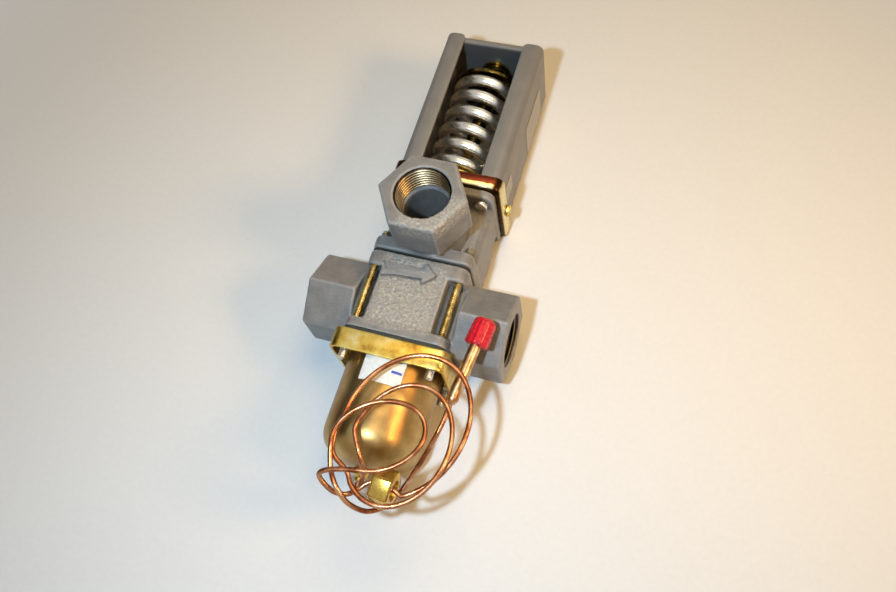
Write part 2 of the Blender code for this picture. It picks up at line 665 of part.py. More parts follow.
def make_trays():
    saddle = tray("saddle_tray", SADDLE_BOTTOM_Y, SADDLE_TOP_Y, SADDLE_HOLE_RADIUS)
    for _, x, z in corners(FLANGE_SCREW_X, FLANGE_SCREW_Z):
        radius = FLANGE_SCREW_RADIUS + BOLT_CLEARANCE
        cut(saddle, tool(rod("Y", radius, SADDLE_BOTTOM_Y - OVERRUN, SADDLE_FLOOR_Y + OVERRUN, 12, x, z)))
    for side in (-1, 1):
        side_screw_hole(saddle, side)
    lower = tray("bellows_tray", BELLOWS_TRAY_TOP_Y, BELLOWS_TRAY_BOTTOM_Y, BUSH_RADIUS + GAP)
    bolt_holes(lower, CUP_RIM_Y - OVERRUN, BELLOWS_TRAY_TOP_Y + OVERRUN)


def channel_outline(side):
    """One side wall of the housing with its front and back lips: a bent strip seen along the valve axis."""
    inner_radius = HOUSING_BEND - HOUSING_SHEET
    lip_end = HOUSING_HALF_WIDTH - HOUSING_LIP
    centre_x = HOUSING_HALF_WIDTH - HOUSING_BEND
    centre_z = HOUSING_HALF_DEPTH - HOUSING_BEND
    outside = [(lip_end, HOUSING_HALF_DEPTH), *arc((centre_x, centre_z), HOUSING_BEND, 90, 0, 4)]
    outside += [*arc((centre_x, -centre_z), HOUSING_BEND, 0, -90, 4), (lip_end, -HOUSING_HALF_DEPTH)]
    inner_depth = HOUSING_HALF_DEPTH - HOUSING_SHEET
    inside = [(lip_end, inner_depth), *arc((centre_x, centre_z), inner_radius, 90, 0, 4)]
    inside += [*arc((centre_x, -centre_z), inner_radius, 0, -90, 4), (lip_end, -inner_depth)]
    return [(side * x, z) for x, z in outside + inside[::-1]]


def make_spring_housing():
    walls = [prism("Y", channel_outline(side), HOUSING_BOTTOM_Y, HOUSING_TOP_Y) for side in (1, -1)]
    housing = piece("spring_housing", walls[0], "grey sheet paint")
    edge = HOUSING_HALF_DEPTH - END_WALL_SET_BACK
    under = END_WALL_UNDER_Y
    hem = under - HOUSING_SHEET
    fold = edge - END_WALL_HEM
    outline = (
        (END_WALL_TOP_Y, edge),
        (END_WALL_TOP_Y, -edge),
        (hem, -edge),
        (hem, -fold),
        (under, -fold),
        (under, fold),
        (hem, fold),
        (hem, edge),
    )
    reach = HOUSING_HALF_WIDTH - HOUSING_SHEET / 2
    join(
        housing,
        tool(prism("X", outline, -reach, reach)),
        tool(walls[1]),
    )
    hole = SCREW_RADIUS + SCREW_HOLE_CLEARANCE
    cut(housing, tool(rod("Y", hole, under - OVERRUN, END_WALL_TOP_Y + OVERRUN, 20)))
    for side in (-1, 1):
        side_screw_hole(housing, side)


def spring_points():
    """Centre line of the range spring: open turns between two end turns that close onto the seat plates."""
    low = SPRING_BOTTOM_Y + SPRING_WIRE / 2
    high = SPRING_TOP_Y - SPRING_WIRE / 2
    steps = round(SPRING_TURNS * SPRING_POINTS_PER_TURN)
    open_turns = SPRING_TURNS - SPRING_END_TURN
    pitch = (high - low) / open_turns
    points = []
    for i in range(steps + 1):
        turn = SPRING_TURNS * i / steps
        rise = pitch * soft_rise(turn, SPRING_END_TURN, SPRING_TURNS)
        angle = math.radians(SPRING_START_DEG) + 2 * math.pi * turn
        radius = SPRING_MEAN_RADIUS
        points.append((radius * math.cos(angle), low + rise, radius * math.sin(angle)))
    return points


def soft_rise(turn, end, total):
    """Turns risen: it gains speed over the first end turn, runs evenly, and slows over the last one."""
    if turn < end:
        return turn * turn / (2 * end)
    if turn > total - end:
        left = total - turn
        return total - end - left * left / (2 * end)
    return turn - end / 2


def tube(name, points, radius, material):
    """A round tube along the points, as a curve with filled ends."""
    path = bpy.data.curves.new(name, "CURVE")
    path.dimensions = "3D"
    path.bevel_depth = radius
    path.bevel_resolution = 1
    path.use_fill_caps = True
    line = path.splines.new("POLY")
    line.points.add(len(points) - 1)
    for point, place in zip(line.points, points):
        point.co = (*place, 1)
    path.materials.append(finish(material))
    made = bpy.data.objects.new(name, path)
    bpy.context.scene.collection.objects.link(made)
    made.parent = AXIS
    return made


def least_gap(points, diameter, skip):
    """The smallest distance between surfaces of two stretches of a tube that are not neighbours."""
    fine = []
    for start, end in zip(points, points[1:]):
        fine += [Vector(start).lerp(Vector(end), k / 4) for k in range(4)]
    gaps = [(a - b).length for i, a in enumerate(fine) for b in fine[i + skip * 4 :]]
    return min(gaps) - diameter


def make_spring_set():
    top = SPRING_BOTTOM_Y - GAP
    under = FOLLOWER_UNDER_Y
    hub_end = under - FOLLOWER_HUB_DEPTH
    bore = STEM_RADIUS + GAP
    follower = (
        (0, top),
        (SEAT_PLATE_RADIUS, top),
        (SEAT_PLATE_RADIUS, under),
        (FOLLOWER_HUB_RADIUS, under),
        (FOLLOWER_HUB_RADIUS, hub_end),
        (bore, hub_end),
        (bore, STEM_TOP_Y + GAP),
        (0, STEM_TOP_Y + GAP),
    )
    smooth(piece("lower_spring_follower", turned("Y", follower, 28), "yellow chromate"))
    points = spring_points()
    tube("range_spring", points, SPRING_WIRE / 2, "bright zinc")
    print(f"range spring least gap {least_gap(points, SPRING_WIRE, 6) / MM:.2f} mm")
    shoulder = GUIDE_BASE_Y + SEAT_PLATE_THICKNESS
    bore = SCREW_RADIUS + GAP
    crown_radius = (GUIDE_HUB_RADIUS + bore) / 2
    guide = (
        (bore, GUIDE_BASE_Y),
        (SEAT_PLATE_RADIUS, GUIDE_BASE_Y),
        (SEAT_PLATE_RADIUS, shoulder),
        (GUIDE_HUB_RADIUS, shoulder),
        (GUIDE_HUB_RADIUS, GUIDE_CROWN_Y - GUIDE_HUB_HEIGHT / 2),
        (crown_radius, GUIDE_CROWN_Y),
        (bore, GUIDE_CROWN_Y),
    )
    smooth(piece("upper_spring_guide", turned("Y", guide, 28, closed=True), "yellow chromate"))


def make_adjusting_screw():
    washer = ring("Y", SCREW_RADIUS + GAP, WASHER_RADIUS, WASHER_LOW_Y, WASHER_TOP_Y, 24)
    smooth(piece("thrust_washer", washer, "brass"))
    head_low = END_WALL_TOP_Y + GAP
    profile = (
        (0, SCREW_BOTTOM_Y),
        (SCREW_RADIUS - SCREW_POINT, SCREW_BOTTOM_Y),
        (SCREW_RADIUS, SCREW_BOTTOM_Y + SCREW_POINT),
        (SCREW_RADIUS, COLLAR_LOW_Y),
        (SCREW_COLLAR_RADIUS, COLLAR_LOW_Y),
        (SCREW_COLLAR_RADIUS, COLLAR_TOP_Y),
        (SCREW_RADIUS, COLLAR_TOP_Y),
        (SCREW_RADIUS, head_low + OVERRUN),
        (0, head_low + OVERRUN),
    )
    screw = piece("adjusting_screw", turned("Y", profile, 20), "yellow chromate")
    half = SCREW_HEAD_FLATS / 2
    edge = SCREW_HEAD_EDGE
    full = rounded_rectangle(half, half, edge, 2)
    small = rounded_rectangle(half - edge, half - edge, edge / 2, 2)
    head = loft("Y", ((head_low, full), (HEAD_TOP_Y - edge, full), (HEAD_TOP_Y, small)))
    join(screw, tool(head))
    smooth(screw)


def make_bellows():
    rim = CUP_RIM_Y
    centre = (CUP_RADIUS - CUP_CORNER, CUP_END_Y + CUP_CORNER)
    hole = CAPILLARY_DIAMETER / 2 + GAP
    outer = [(CUP_RADIUS, rim), *arc(centre, CUP_CORNER, 0, -90, 6), (hole, CUP_END_Y)]
    inner = [(hole, CUP_END_Y + CUP_SHEET), *arc(centre, CUP_CORNER - CUP_SHEET, -90, 0, 6)]
    profile = [*outer, *inner, (CUP_RADIUS - CUP_SHEET, rim)]
    smooth(piece("bellows_cup", turned("Y", profile, 32, closed=True), "brass"))

    step = (rim - BELLOWS_END_Y) / (2 * BELLOWS_FOLDS)
    radii = (BELLOWS_ROOT, BELLOWS_OUTER)
    folds = [(radii[k % 2], rim - k * step) for k in range(2 * BELLOWS_FOLDS)]
    end_inside = BELLOWS_END_Y + BELLOWS_SHEET
    outside = [(0, BELLOWS_END_Y), (BELLOWS_ROOT, BELLOWS_END_Y), *folds[::-1]]
    inside = [(radius - BELLOWS_SHEET, along) for radius, along in folds]
    inside += [(BELLOWS_ROOT - BELLOWS_SHEET, end_inside), (0, end_inside)]
    shape = turned("Y", outside + inside, 16)
    smooth(piece("bellows", shape, "brass"))
    plug = rod("Y", PLUG_RADIUS, PLUG_LOW_Y, PLUG_LOW_Y + PLUG_THICKNESS, 20)
    smooth(piece("bellows_plug", plug, "stainless steel"))


def make_bolts():
    head_top = CUP_RIM_Y
    for place, x, z in corners(BOLT_X, BOLT_Z):
        full = shifted(circle(BOLT_RADIUS, 12), x, z)
        point = shifted(circle(BOLT_RADIUS - BOLT_POINT, 12), x, z)
        shank_low = head_top - BOLT_HEAD_HEIGHT / 2
        shank = loft("Y", ((shank_low, full), (BOLT_TIP_Y - BOLT_POINT, full), (BOLT_TIP_Y, point)))
        bolt = piece(f"body_bolt_{place}", shank, "yellow chromate")
        head = shifted(hexagon(BOLT_HEAD_FLATS, 0), x, z)
        join(bolt, tool(prism("Y", head, head_top - BOLT_HEAD_HEIGHT, head_top)))
        smooth(bolt)


def pan_head_screw(axis, seat, head_end, tip, head_radius, radius):
    """A screw whose round head lies between its end and its seat, with its shank running on to the tip."""
    outward = math.copysign(SCREW_HEAD_ROUND, head_end - seat)
    profile = (
        (0, head_end),
        (head_radius - SCREW_HEAD_ROUND, head_end),
        (head_radius, head_end - outward),
        (head_radius, seat),
        (radius, seat),
        (radius, tip),
        (0, tip),
    )
    return turned(axis, profile, 12)


def make_small_screws():
    seat = UPPER_LEDGE_Y - GAP
    tip = SADDLE_FLOOR_Y + FLANGE_SCREW_STAND
    for place, x, z in corners(FLANGE_SCREW_X, FLANGE_SCREW_Z):
        head_end = seat - FLANGE_SCREW_HEAD_HEIGHT
        screw = pan_head_screw("Y", seat, head_end, tip, FLANGE_SCREW_HEAD_RADIUS, FLANGE_SCREW_RADIUS)
        bmesh.ops.translate(screw, verts=screw.verts, vec=(x, 0, z))
        smooth(piece(f"flange_screw_{place}", screw, "bright zinc"))
    for place, side in (("left", -1), ("right", 1)):
        seat = side * (TRAY_HALF_WIDTH + GAP)
        head_end = seat + side * SIDE_SCREW_HEAD_HEIGHT
        tip = side * SIDE_SCREW_TIP_X
        screw = pan_head_screw("X", seat, head_end, tip, SIDE_SCREW_HEAD_RADIUS, SIDE_SCREW_RADIUS)
        bmesh.ops.translate(screw, verts=screw.verts, vec=(0, SIDE_SCREW_Y, SIDE_SCREW_Z))
        smooth(piece(f"side_screw_{place}", screw, "bright zinc"))


def loop_points(loop):
    """Points of one elliptical loop of the capillary, evenly spaced in angle and rising evenly."""
    start, end = loop["turn"]
    steps = round(abs(end - start) / 360 * LOOP_POINTS)
    tilt = math.radians(loop["tilt"])
    points = []
    for i in range(steps + 1):
        angle = math.radians(start + (end - start) * i / steps)
        along = loop["half"][0] * math.cos(angle)
        across = loop["half"][1] * math.sin(angle)
        x = loop["centre"][0] + along * math.cos(tilt) - across * math.sin(tilt)
        y = loop["centre"][1] + along * math.sin(tilt) + across * math.cos(tilt)
        low, high = loop["height"]
        points.append((x, y, low + (high - low) * i / steps))
    return points


def smooth_line(stations, spacing):
    """Points along a smooth curve through the stations, about that far apart."""
    padded = [stations[0], *stations, stations[-1]]
    points = []
    for before, start, end, after in zip(padded, padded[1:], padded[2:], padded[3:]):
        steps = max(1, round((end - start).length / spacing))
        for k in range(steps):
            t = k / steps
            bend = (2 * before - 5 * start + 4 * end - after) * t * t
            sway = (3 * start - before - 3 * end + after) * t * t * t
            points.append((2 * start + (end - before) * t + bend + sway) / 2)
    points.append(stations[-1])
    return points


def capillary_route():
    """From the ferrule, round two loops and through the nut, then back round the inner loop to the stub."""
    before = (*LEAD_FROM_CUP, *loop_points(MIDDLE_LOOP), *LEAD_TO_OUTER_LOOP, *loop_points(OUTER_LOOP))
    after = (*LEAD_FROM_NUT, *loop_points(INNER_LOOP), *LEAD_TO_STUB)
    to_nut = [Vector(station) * MM for station in before]
    from_nut = [Vector(station) * MM for station in after]
    along_nut = Matrix.Rotation(math.radians(NUT_TURN_DEG), 3, "Z") @ Vector((NUT_LENGTH / 2 + OVERRUN, 0, 0))
    in_nut = Vector(NUT_CENTRE) + Vector((0, 0, NUT_HANG))
    stations = [*to_nut, in_nut + along_nut, in_nut - along_nut, *from_nut]
    start = Vector((0, FERRULE_END_Y - GAP, 0))
    foot = Vector(STUB_FOOT)
    back = (foot - Vector(STUB_HEAD)).normalized()
    run_out = start + Vector((0, -CAPILLARY_DIAMETER, 0))
    run_in = foot + back * (GAP + CAPILLARY_DIAMETER)
    route = smooth_line([run_out, *stations, run_in], 3 * CAPILLARY_DIAMETER)
    return [start, *route, foot + back * GAP]


def placed_along(shape, start, end):
    """Turn a shape made along +Z so that it runs from start toward end."""
    direction = Vector(end) - Vector(start)
    turn = direction.to_track_quat("Z", "Y").to_matrix().to_4x4()
    bmesh.ops.transform(shape, matrix=Matrix.Translation(start) @ turn, verts=shape.verts)
    return shape


def make_capillary():
    route = capillary_route()
    tube("capillary_tube", route, CAPILLARY_DIAMETER / 2, "copper")
    length = sum((b - a).length for a, b in zip(route, route[1:]))
    gap = least_gap(route, CAPILLARY_DIAMETER, 4)
    print(f"capillary {len(route)} points, {length / MM:.0f} mm long, least gap {gap / MM:.2f} mm")
    base = CUP_END_Y - GAP
    ferrule = (
        (0, FERRULE_END_Y),
        (FERRULE_NOSE_RADIUS, FERRULE_END_Y),
        (FERRULE_NOSE_RADIUS, FERRULE_END_Y + FERRULE_NOSE_LENGTH),
        (FERRULE_RADIUS, FERRULE_END_Y + FERRULE_NOSE_LENGTH + FERRULE_SHOULDER),
        (FERRULE_RADIUS, base),
        (0, base),
    )
    smooth(piece("cup_ferrule", turned("Y", ferrule, 18), "brass"))


def make_stub():
    foot, head = Vector(STUB_FOOT), Vector(STUB_HEAD)
    length = (head - foot).length
    stub = (
        (0, 0),
        (STUB_NECK_RADIUS, 0),
        (STUB_RADIUS, STUB_NECK_LENGTH),
        (STUB_RADIUS, length),
        (STUB_BORE_RADIUS, length),
        (STUB_BORE_RADIUS, STUB_FLOOR),
        (0, STUB_FLOOR),
    )
    smooth(piece("tube_stub", placed_along(turned("Z", stub, 14), foot, head), "copper"))
    bore = STUB_RADIUS + GAP
    roof = CAP_LENGTH - CAP_WALL
    cap = (
        (0, CAP_LENGTH),
        (CAP_TOP_RADIUS - CAP_ROUND, CAP_LENGTH),
        (CAP_TOP_RADIUS, CAP_LENGTH - CAP_ROUND),
        (CAP_RADIUS, 0),
        (bore, 0),
        (bore, roof),
        (0, roof),
    )
    along = (head - foot).normalized()
    cap_foot = foot + along * (length + GAP - roof)
    smooth(piece("vinyl_cap", placed_along(turned("Z", cap, 18), cap_foot, cap_foot + along), "red vinyl"))


def make_flare_nut():
    half = NUT_LENGTH / 2
    full = hexagon(NUT_FLATS, 0)
    small = hexagon(NUT_FLATS, 0, NUT_EDGE)
    sections = ((-half, small), (NUT_EDGE - half, full), (half - NUT_EDGE, full), (half, small))
    nut = piece("flare_nut", loft("X", sections), "brass")
    cut(
        nut,
        tool(rod("X", NUT_NECK_RADIUS, -half - OVERRUN, half + OVERRUN, 16)),
        tool(rod("X", NUT_THREAD_RADIUS, half - NUT_THREAD_DEPTH, half + OVERRUN, 20)),
    )
    place = Matrix.Translation(NUT_CENTRE) @ Matrix.Rotation(math.radians(NUT_TURN_DEG), 4, "Z")
    nut.data.transform(place @ Matrix.Rotation(math.radians(NUT_ROLL_DEG), 4, "X"))


for old in list(bpy.data.objects):
    bpy.data.objects.remove(old)
AXIS = bpy.data.objects.new("valve_axis", None)
AXIS.location = (0, -CENTRE_Y, AXIS_HEIGHT)
bpy.context.scene.collection.objects.link(AXIS)

make_lower_casting()
make_upper_casting()
gasket("body_gasket", LOWER_TOP_Y + GAP, GASKET_HOLE_RADIUS)
gasket("tray_gasket", LOWER_BOTTOM_Y - GAP - GASKET_THICKNESS, BUSH_RADIUS + GAP)
make_trim_inside()
make_trays()
make_spring_housing()
make_spring_set()
make_adjusting_screw()
make_bellows()
make_bolts()
make_small_screws()
make_capillary()
make_stub()
make_flare_nut()
bpy.context.view_layer.update()
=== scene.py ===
import json
import math
from functools import partial
import bpy
from mathutils import Matrix, Vector


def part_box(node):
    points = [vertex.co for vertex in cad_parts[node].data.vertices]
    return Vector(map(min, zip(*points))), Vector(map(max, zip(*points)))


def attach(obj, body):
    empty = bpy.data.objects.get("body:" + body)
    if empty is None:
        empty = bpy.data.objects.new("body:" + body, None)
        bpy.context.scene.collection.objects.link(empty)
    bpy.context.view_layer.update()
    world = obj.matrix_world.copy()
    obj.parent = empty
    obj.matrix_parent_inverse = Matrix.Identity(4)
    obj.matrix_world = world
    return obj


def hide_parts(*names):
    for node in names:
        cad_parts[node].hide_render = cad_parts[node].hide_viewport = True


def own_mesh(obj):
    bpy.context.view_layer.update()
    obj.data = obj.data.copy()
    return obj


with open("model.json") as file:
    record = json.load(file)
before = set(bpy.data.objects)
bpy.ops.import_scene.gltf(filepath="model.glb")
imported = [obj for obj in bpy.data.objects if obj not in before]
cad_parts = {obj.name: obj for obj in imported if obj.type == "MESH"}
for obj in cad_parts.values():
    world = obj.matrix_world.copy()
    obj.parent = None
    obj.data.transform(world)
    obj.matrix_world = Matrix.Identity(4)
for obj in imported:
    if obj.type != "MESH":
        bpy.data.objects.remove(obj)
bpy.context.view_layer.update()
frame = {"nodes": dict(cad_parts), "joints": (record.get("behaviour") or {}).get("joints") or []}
mm = 0.001
weld = 0.002  # mm, points nearer than this become one
close = 0.1  # mm, counts as the same place
stemLow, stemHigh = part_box("valve_stem")
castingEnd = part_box("lower_casting")[0].y
flangeBelowZero = 24.4  # mm from the valve's zero down to the lower casting's end
home = Vector(((stemLow.x + stemHigh.x) / 2, castingEnd + flangeBelowZero * mm, (stemLow.z + stemHigh.z) / 2))


def span(node):
    # lowest and highest corner of a CAD piece, in mm from the valve's zero
    low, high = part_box(node)
    return (Vector(low) - home) / mm, (Vector(high) - home) / mm


def centreOf(node):
    low, high = span(node)
    return (low + high) / 2


def share(value):
    return min(1.0, max(0.0, value))


def evenly(start, end, count):
    return [start + (end - start) * i / count for i in range(count + 1)]


def closeEdit():
    bpy.ops.object.mode_set(mode="OBJECT")


def work(piece):
    if bpy.context.mode != "OBJECT":
        closeEdit()
    bpy.ops.object.select_all(action="DESELECT")
    piece.select_set(True)
    bpy.context.view_layer.objects.active = piece


def pick(piece, kind, wanted):
    # opens the piece with only the wanted faces, edges or points selected
    work(piece)
    bpy.ops.object.mode_set(mode="EDIT")
    bpy.ops.mesh.select_mode(type=kind)
    bpy.ops.mesh.select_all(action="DESELECT")
    closeEdit()
    items = {"FACE": piece.data.polygons, "EDGE": piece.data.edges, "VERT": piece.data.vertices}[kind]
    for item in items:
        item.select = bool(wanted(item))
    bpy.ops.object.mode_set(mode="EDIT")


def change(piece, kind, **settings):
    work(piece)
    modifier = piece.modifiers.new(kind.lower(), kind)
    for name, value in settings.items():
        setattr(modifier, name, value)
    bpy.ops.object.modifier_apply(modifier=modifier.name)


def rounded(piece, width, segments, limit=30, **rest):
    angle = math.radians(limit)
    change(piece, "BEVEL", width=width, segments=segments, limit_method="ANGLE", angle_limit=angle, **rest)


def roundPicked(piece, wanted, width):
    pick(piece, "EDGE", wanted)
    bpy.ops.mesh.bevel(offset=width, segments=6, affect="EDGES")
    closeEdit()


def dissolved(piece, angle=0.6):
    change(piece, "DECIMATE", decimate_type="DISSOLVE", angle_limit=math.radians(angle))


def combine(piece, tool, operation):
    change(piece, "BOOLEAN", operation=operation, object=tool, solver="EXACT")
    bpy.data.objects.remove(tool)


def cleanUp(piece, distance=weld):
    pick(piece, "VERT", lambda point: True)
    bpy.ops.mesh.remove_doubles(threshold=distance)
    bpy.ops.mesh.normals_make_consistent(inside=False)
    closeEdit()


def smoothOff(piece, angle=35):
    work(piece)
    bpy.ops.object.shade_smooth_by_angle(angle=math.radians(angle))
    return piece


def applyPlace(piece):
    work(piece)
    bpy.ops.object.transform_apply(location=True, rotation=True, scale=True)


def keepValues(piece, name, values):
    # one number for each point, for a material to read
    piece.data.attributes.new(name, "FLOAT", "POINT").data.foreach_set("value", values)


def placed(name, data):
    piece = bpy.data.objects.new(name, data)
    bpy.context.scene.collection.objects.link(piece)
    return piece


def added(name, primitive, **settings):
    bpy.ops.object.select_all(action="DESELECT")
    primitive(**settings)
    piece = bpy.context.active_object
    piece.name = name
    return piece


def addBox(name, low, high):
    centre = [(a + b) / 2 for a, b in zip(low, high)]
    size = [b - a for a, b in zip(low, high)]
    piece = added(name, bpy.ops.mesh.primitive_cube_add, size=1, location=centre, scale=size)
    applyPlace(piece)
    return piece


def drawn(name, points):
    # a line drawn by extruding one point from place to place, left open with all of it selected
    piece = added(name, bpy.ops.mesh.primitive_plane_add, size=1)
    pick(piece, "VERT", lambda point: True)
    bpy.ops.mesh.merge(type="CENTER")
    bpy.ops.transform.translate(value=points[0])
    for start, end in zip(points, points[1:]):
        step = [b - a for a, b in zip(start, end)]
        bpy.ops.mesh.extrude_vertices_move(TRANSFORM_OT_translate={"value": step})
    bpy.ops.mesh.select_all(action="SELECT")
    return piece


def turned(name, profile, steps=64):
    # a profile of (radius, y) points spun about the Y axis
    piece = drawn(name, [(r, y, 0) for r, y in profile])
    bpy.ops.mesh.spin(steps=steps, angle=math.tau, center=(0, 0, 0), axis=(0, 1, 0))
    cleanUp(piece)
    return piece


def pin(name, radius, low, high, steps):
    return turned(name, [(0, low), (radius, low), (radius, high), (0, high)], steps)


def bend(centre, radius, start, end, steps):
    # points of an arc in a profile, angles in degrees from the radius direction
    turns = [math.radians(angle) for angle in evenly(start, end, steps)]
    return [(centre[0] + radius * math.cos(a), centre[1] + radius * math.sin(a)) for a in turns]


def rows(radius, low, high, count):
    return [(radius, y) for y in evenly(low, high, count)]


def ridge(name, base, crest, low, high, pitch, steps=32):
    # a helical tooth with its foot under the base radius and its edge on the crest radius, lower at both ends
    tooth = {"sunk": 0.25, "foot": 0.48, "land": 0.06, "start": 0.35}
    piece = added(name, bpy.ops.mesh.primitive_circle_add, vertices=4, radius=1)
    sunk = base + (base - crest) * tooth["sunk"]
    foot, land = tooth["foot"] * pitch, tooth["land"] * pitch
    outline = ((sunk, -foot), (crest, -land), (crest, land), (sunk, foot))
    for point, (r, along) in zip(piece.data.vertices, outline):
        point.co = (r, low + along + pitch / 2, 0)
    turns = (high - low) / pitch - 1
    count = round(steps * turns)
    change(piece, "SCREW", axis="Y", screw_offset=-pitch * turns, angle=math.tau * turns, steps=count,
        render_steps=count, use_smooth_shade=False)
    pick(piece, "EDGE", lambda line: False)
    bpy.ops.mesh.select_non_manifold()
    bpy.ops.mesh.edge_face_add()
    closeEdit()
    cleanUp(piece, weld / 4)
    lowest = min(point.co.y for point in piece.data.vertices)
    for point in piece.data.vertices:
        point.co.y += low - lowest
        fromEnd = min(point.co.y - low, high - point.co.y) / pitch
        setRadius(point, sunk + (radiusOf(point) - sunk) * min(1, tooth["start"] + fromEnd))
    return smoothOff(piece, 25)


def radiusOf(point):
    return math.hypot(point.co.x, point.co.z)


def setRadius(point, radius):
    scale = radius / radiusOf(point)
    point.co.x *= scale
    point.co.z *= scale


def joined(piece, *others):
    # several closed shells kept as one object
    work(piece)
    for other in others:
        other.select_set(True)
    bpy.ops.object.join()
    return piece


def aim(piece, start, direction):
    # a piece made along +Y is turned to run along a direction from a place
    turn = Vector(direction).to_track_quat("Y", "Z").to_matrix().to_4x4()
    piece.matrix_world = Matrix.Translation(start) @ turn
    applyPlace(piece)
    return piece


def copyOf(node, name):
    # a CAD piece's own mesh in mm, its loose triangles merged
    mesh = frame["nodes"][node].data.copy()
    mesh.transform(Matrix.Scale(1 / mm, 4) @ Matrix.Translation(-home))
    mesh.materials.clear()
    piece = placed(name, mesh)
    cleanUp(piece)
    return piece


def softened(node, name, width, segments=2):
    # a CAD piece with every sharp edge rounded over
    piece = copyOf(node, name)
    dissolved(piece)
    rounded(piece, width, segments, 24, miter_outer="MITER_ARC", harden_normals=False)
    cleanUp(piece)
    return smoothOff(piece, 32)


def assign(piece, material, slot, *nodes, body="valve_body"):
    # its finish, the body it moves with and the CAD pieces it stands for
    piece.data.materials.clear()
    piece.data.materials.append(material)
    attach(piece, body)
    if nodes:
        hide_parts(*nodes)


def settle(piece, material, slot, *nodes, **rest):
    # from mm to its place on the valve
    piece.scale = (mm, mm, mm)
    piece.location = home
    applyPlace(piece)
    assign(piece, material, slot, *nodes, **rest)


def copied(piece, name, shift=(0, 0, 0)):
    twin = placed(name, piece.data.copy())
    twin.location = shift
    applyPlace(twin)
    return twin


def linear(hexColour):
    channels = [int(hexColour[i : i + 2], 16) / 255 for i in (1, 3, 5)]
    bright = [c / 12.92 if c <= 0.04045 else ((c + 0.055) / 1.055) ** 2.4 for c in channels]
    return (*bright, 1.0)


def outOf(source):
    # a node stands for the first of its outputs in use
    if isinstance(source, bpy.types.NodeSocket):
        return source
    return next(socket for socket in source.outputs if socket.enabled)


def feed(node, sources):
    for name, source in sources.items():
        node.id_data.links.new(outOf(source), node.inputs[name])


def addNode(tree, kind, settings=None, links=None):
    node = tree.nodes.new("ShaderNode" + kind)
    for key, value in (settings or {}).items():
        if key == "stops":
            ramp = node.color_ramp
            while len(ramp.elements) < len(value):
                ramp.elements.new(0.5)
            for element, (place, colour) in zip(ramp.elements, value):
                element.position = place
                element.color = linear(colour)
        elif isinstance(key, int) or key in node.inputs:
            node.inputs[key].default_value = linear(value) if isinstance(value, str) else value
        else:
            setattr(node, key, value)
    feed(node, links or {})
    return node


def grain(size):
    return 1 / (size * mm)  # pattern scale for features of that many mm


def newMaterial(name, **settings):
    # a material, what adds nodes to it, its shader and the object's own coordinates
    material = bpy.data.materials.new(name)
    material.use_nodes = True
    shader = material.node_tree.nodes["Principled BSDF"]
    for key, value in settings.items():
        shader.inputs[key].default_value = value
    add = partial(addNode, material.node_tree)
    return material, add, shader, add("TexCoord").outputs["Object"]


def dress(add, shader, colour, pattern, gloss=None, relief=None):
    # colour to the shader, with gloss (least, most) and relief (strength, mm) that follow one pattern
    sources = {"Base Color": colour}
    if gloss:
        sources["Roughness"] = add("MapRange", {"To Min": gloss[0], "To Max": gloss[1]}, {"Value": pattern})
    if relief:
        bump = {"Strength": relief[0], "Distance": relief[1] * mm}
        sources["Normal"] = add("Bump", bump, {"Height": pattern})
    feed(shader, sources)


def patchy(name, stops, grains, gloss=None, relief=None, **settings):
    # grains are (mm, detail, roughness): the first gives the tone, the last the gloss and the relief
    material, add, shader, place = newMaterial(name, **settings)
    noises = []
    for size, detail, roughness in grains:
        pattern = {"Scale": grain(size), "Detail": detail, "Roughness": roughness}
        noises.append(add("TexNoise", pattern, {"Vector": place}))
    tone = add("ValToRGB", {"stops": stops}, {"Fac": noises[0]})
    dress(add, shader, tone, noises[-1], gloss, relief)
    return material


metal = partial(patchy, Metallic=1.0)

print("stage: materials")
onColour = {"data_type": "RGBA"}
times = {"operation": "MULTIPLY"}

# thick grey enamel on a sand casting: pebbled, with paler edges that are both worn paint and a painted
# highlight, and painted glints as pale specks
castingPaint, add, shader, place = newMaterial("grey enamel on cast iron")
lumps = add("TexNoise", {"Scale": grain(7), "Detail": 3}, {"Vector": place})
pebble = add("TexNoise", {"Scale": grain(1.3), "Detail": 4, "Roughness": 0.6}, {"Vector": place})
speck = add("TexNoise", {"Scale": grain(1.5), "Detail": 2}, {"Vector": place})
tone = add("ValToRGB", {"stops": ((0.3, "#726F6C"), (0.5, "#7B7874"), (0.7, "#83807B"))}, {"Fac": lumps})
# edges paler: worn paint together with a painted highlight along the ridges
pointed = add("NewGeometry").outputs["Pointiness"]
edgeWearAndHighlight = add("ValToRGB", {"stops": ((0.506, "#000000"), (0.53, "#8A8A8A"))}, {"Fac": pointed})
pale = add("Mix", {**onColour, 7: "#C4C3C0"}, {0: edgeWearAndHighlight, 6: tone})
# the rough faces: paler and with more pale specks, a painted sparkle and painted glints on the cast grain
roughFace = add("Attribute", {"attribute_name": "roughFace"}).outputs["Fac"]
# how much painted sparkle the rough faces get
rubbed = add("Math", {**times, 1: 0.7}, {0: roughFace})
sparkleStops = ((0.36, "#9C968B"), (0.5, "#ACA598"), (0.64, "#BFB8AA"))
paintedSparkle = add("ValToRGB", {"stops": sparkleStops}, {"Fac": speck})
withPaintedSparkle = add("Mix", onColour, {0: rubbed, 6: pale, 7: paintedSparkle})
# pale specks: painted glints
paintedGlints = add("ValToRGB", {"stops": ((0.64, "#000000"), (0.74, "#FFFFFF"))}, {"Fac": speck})
often = add("MapRange", {"To Min": 0.08, "To Max": 0.5}, {"Value": roughFace})
glintShare = add("Math", times, {0: paintedGlints, 1: often})
withPaintedGlints = add("Mix", {**onColour, 7: "#DCD8D2"}, {0: glintShare, 6: withPaintedSparkle})
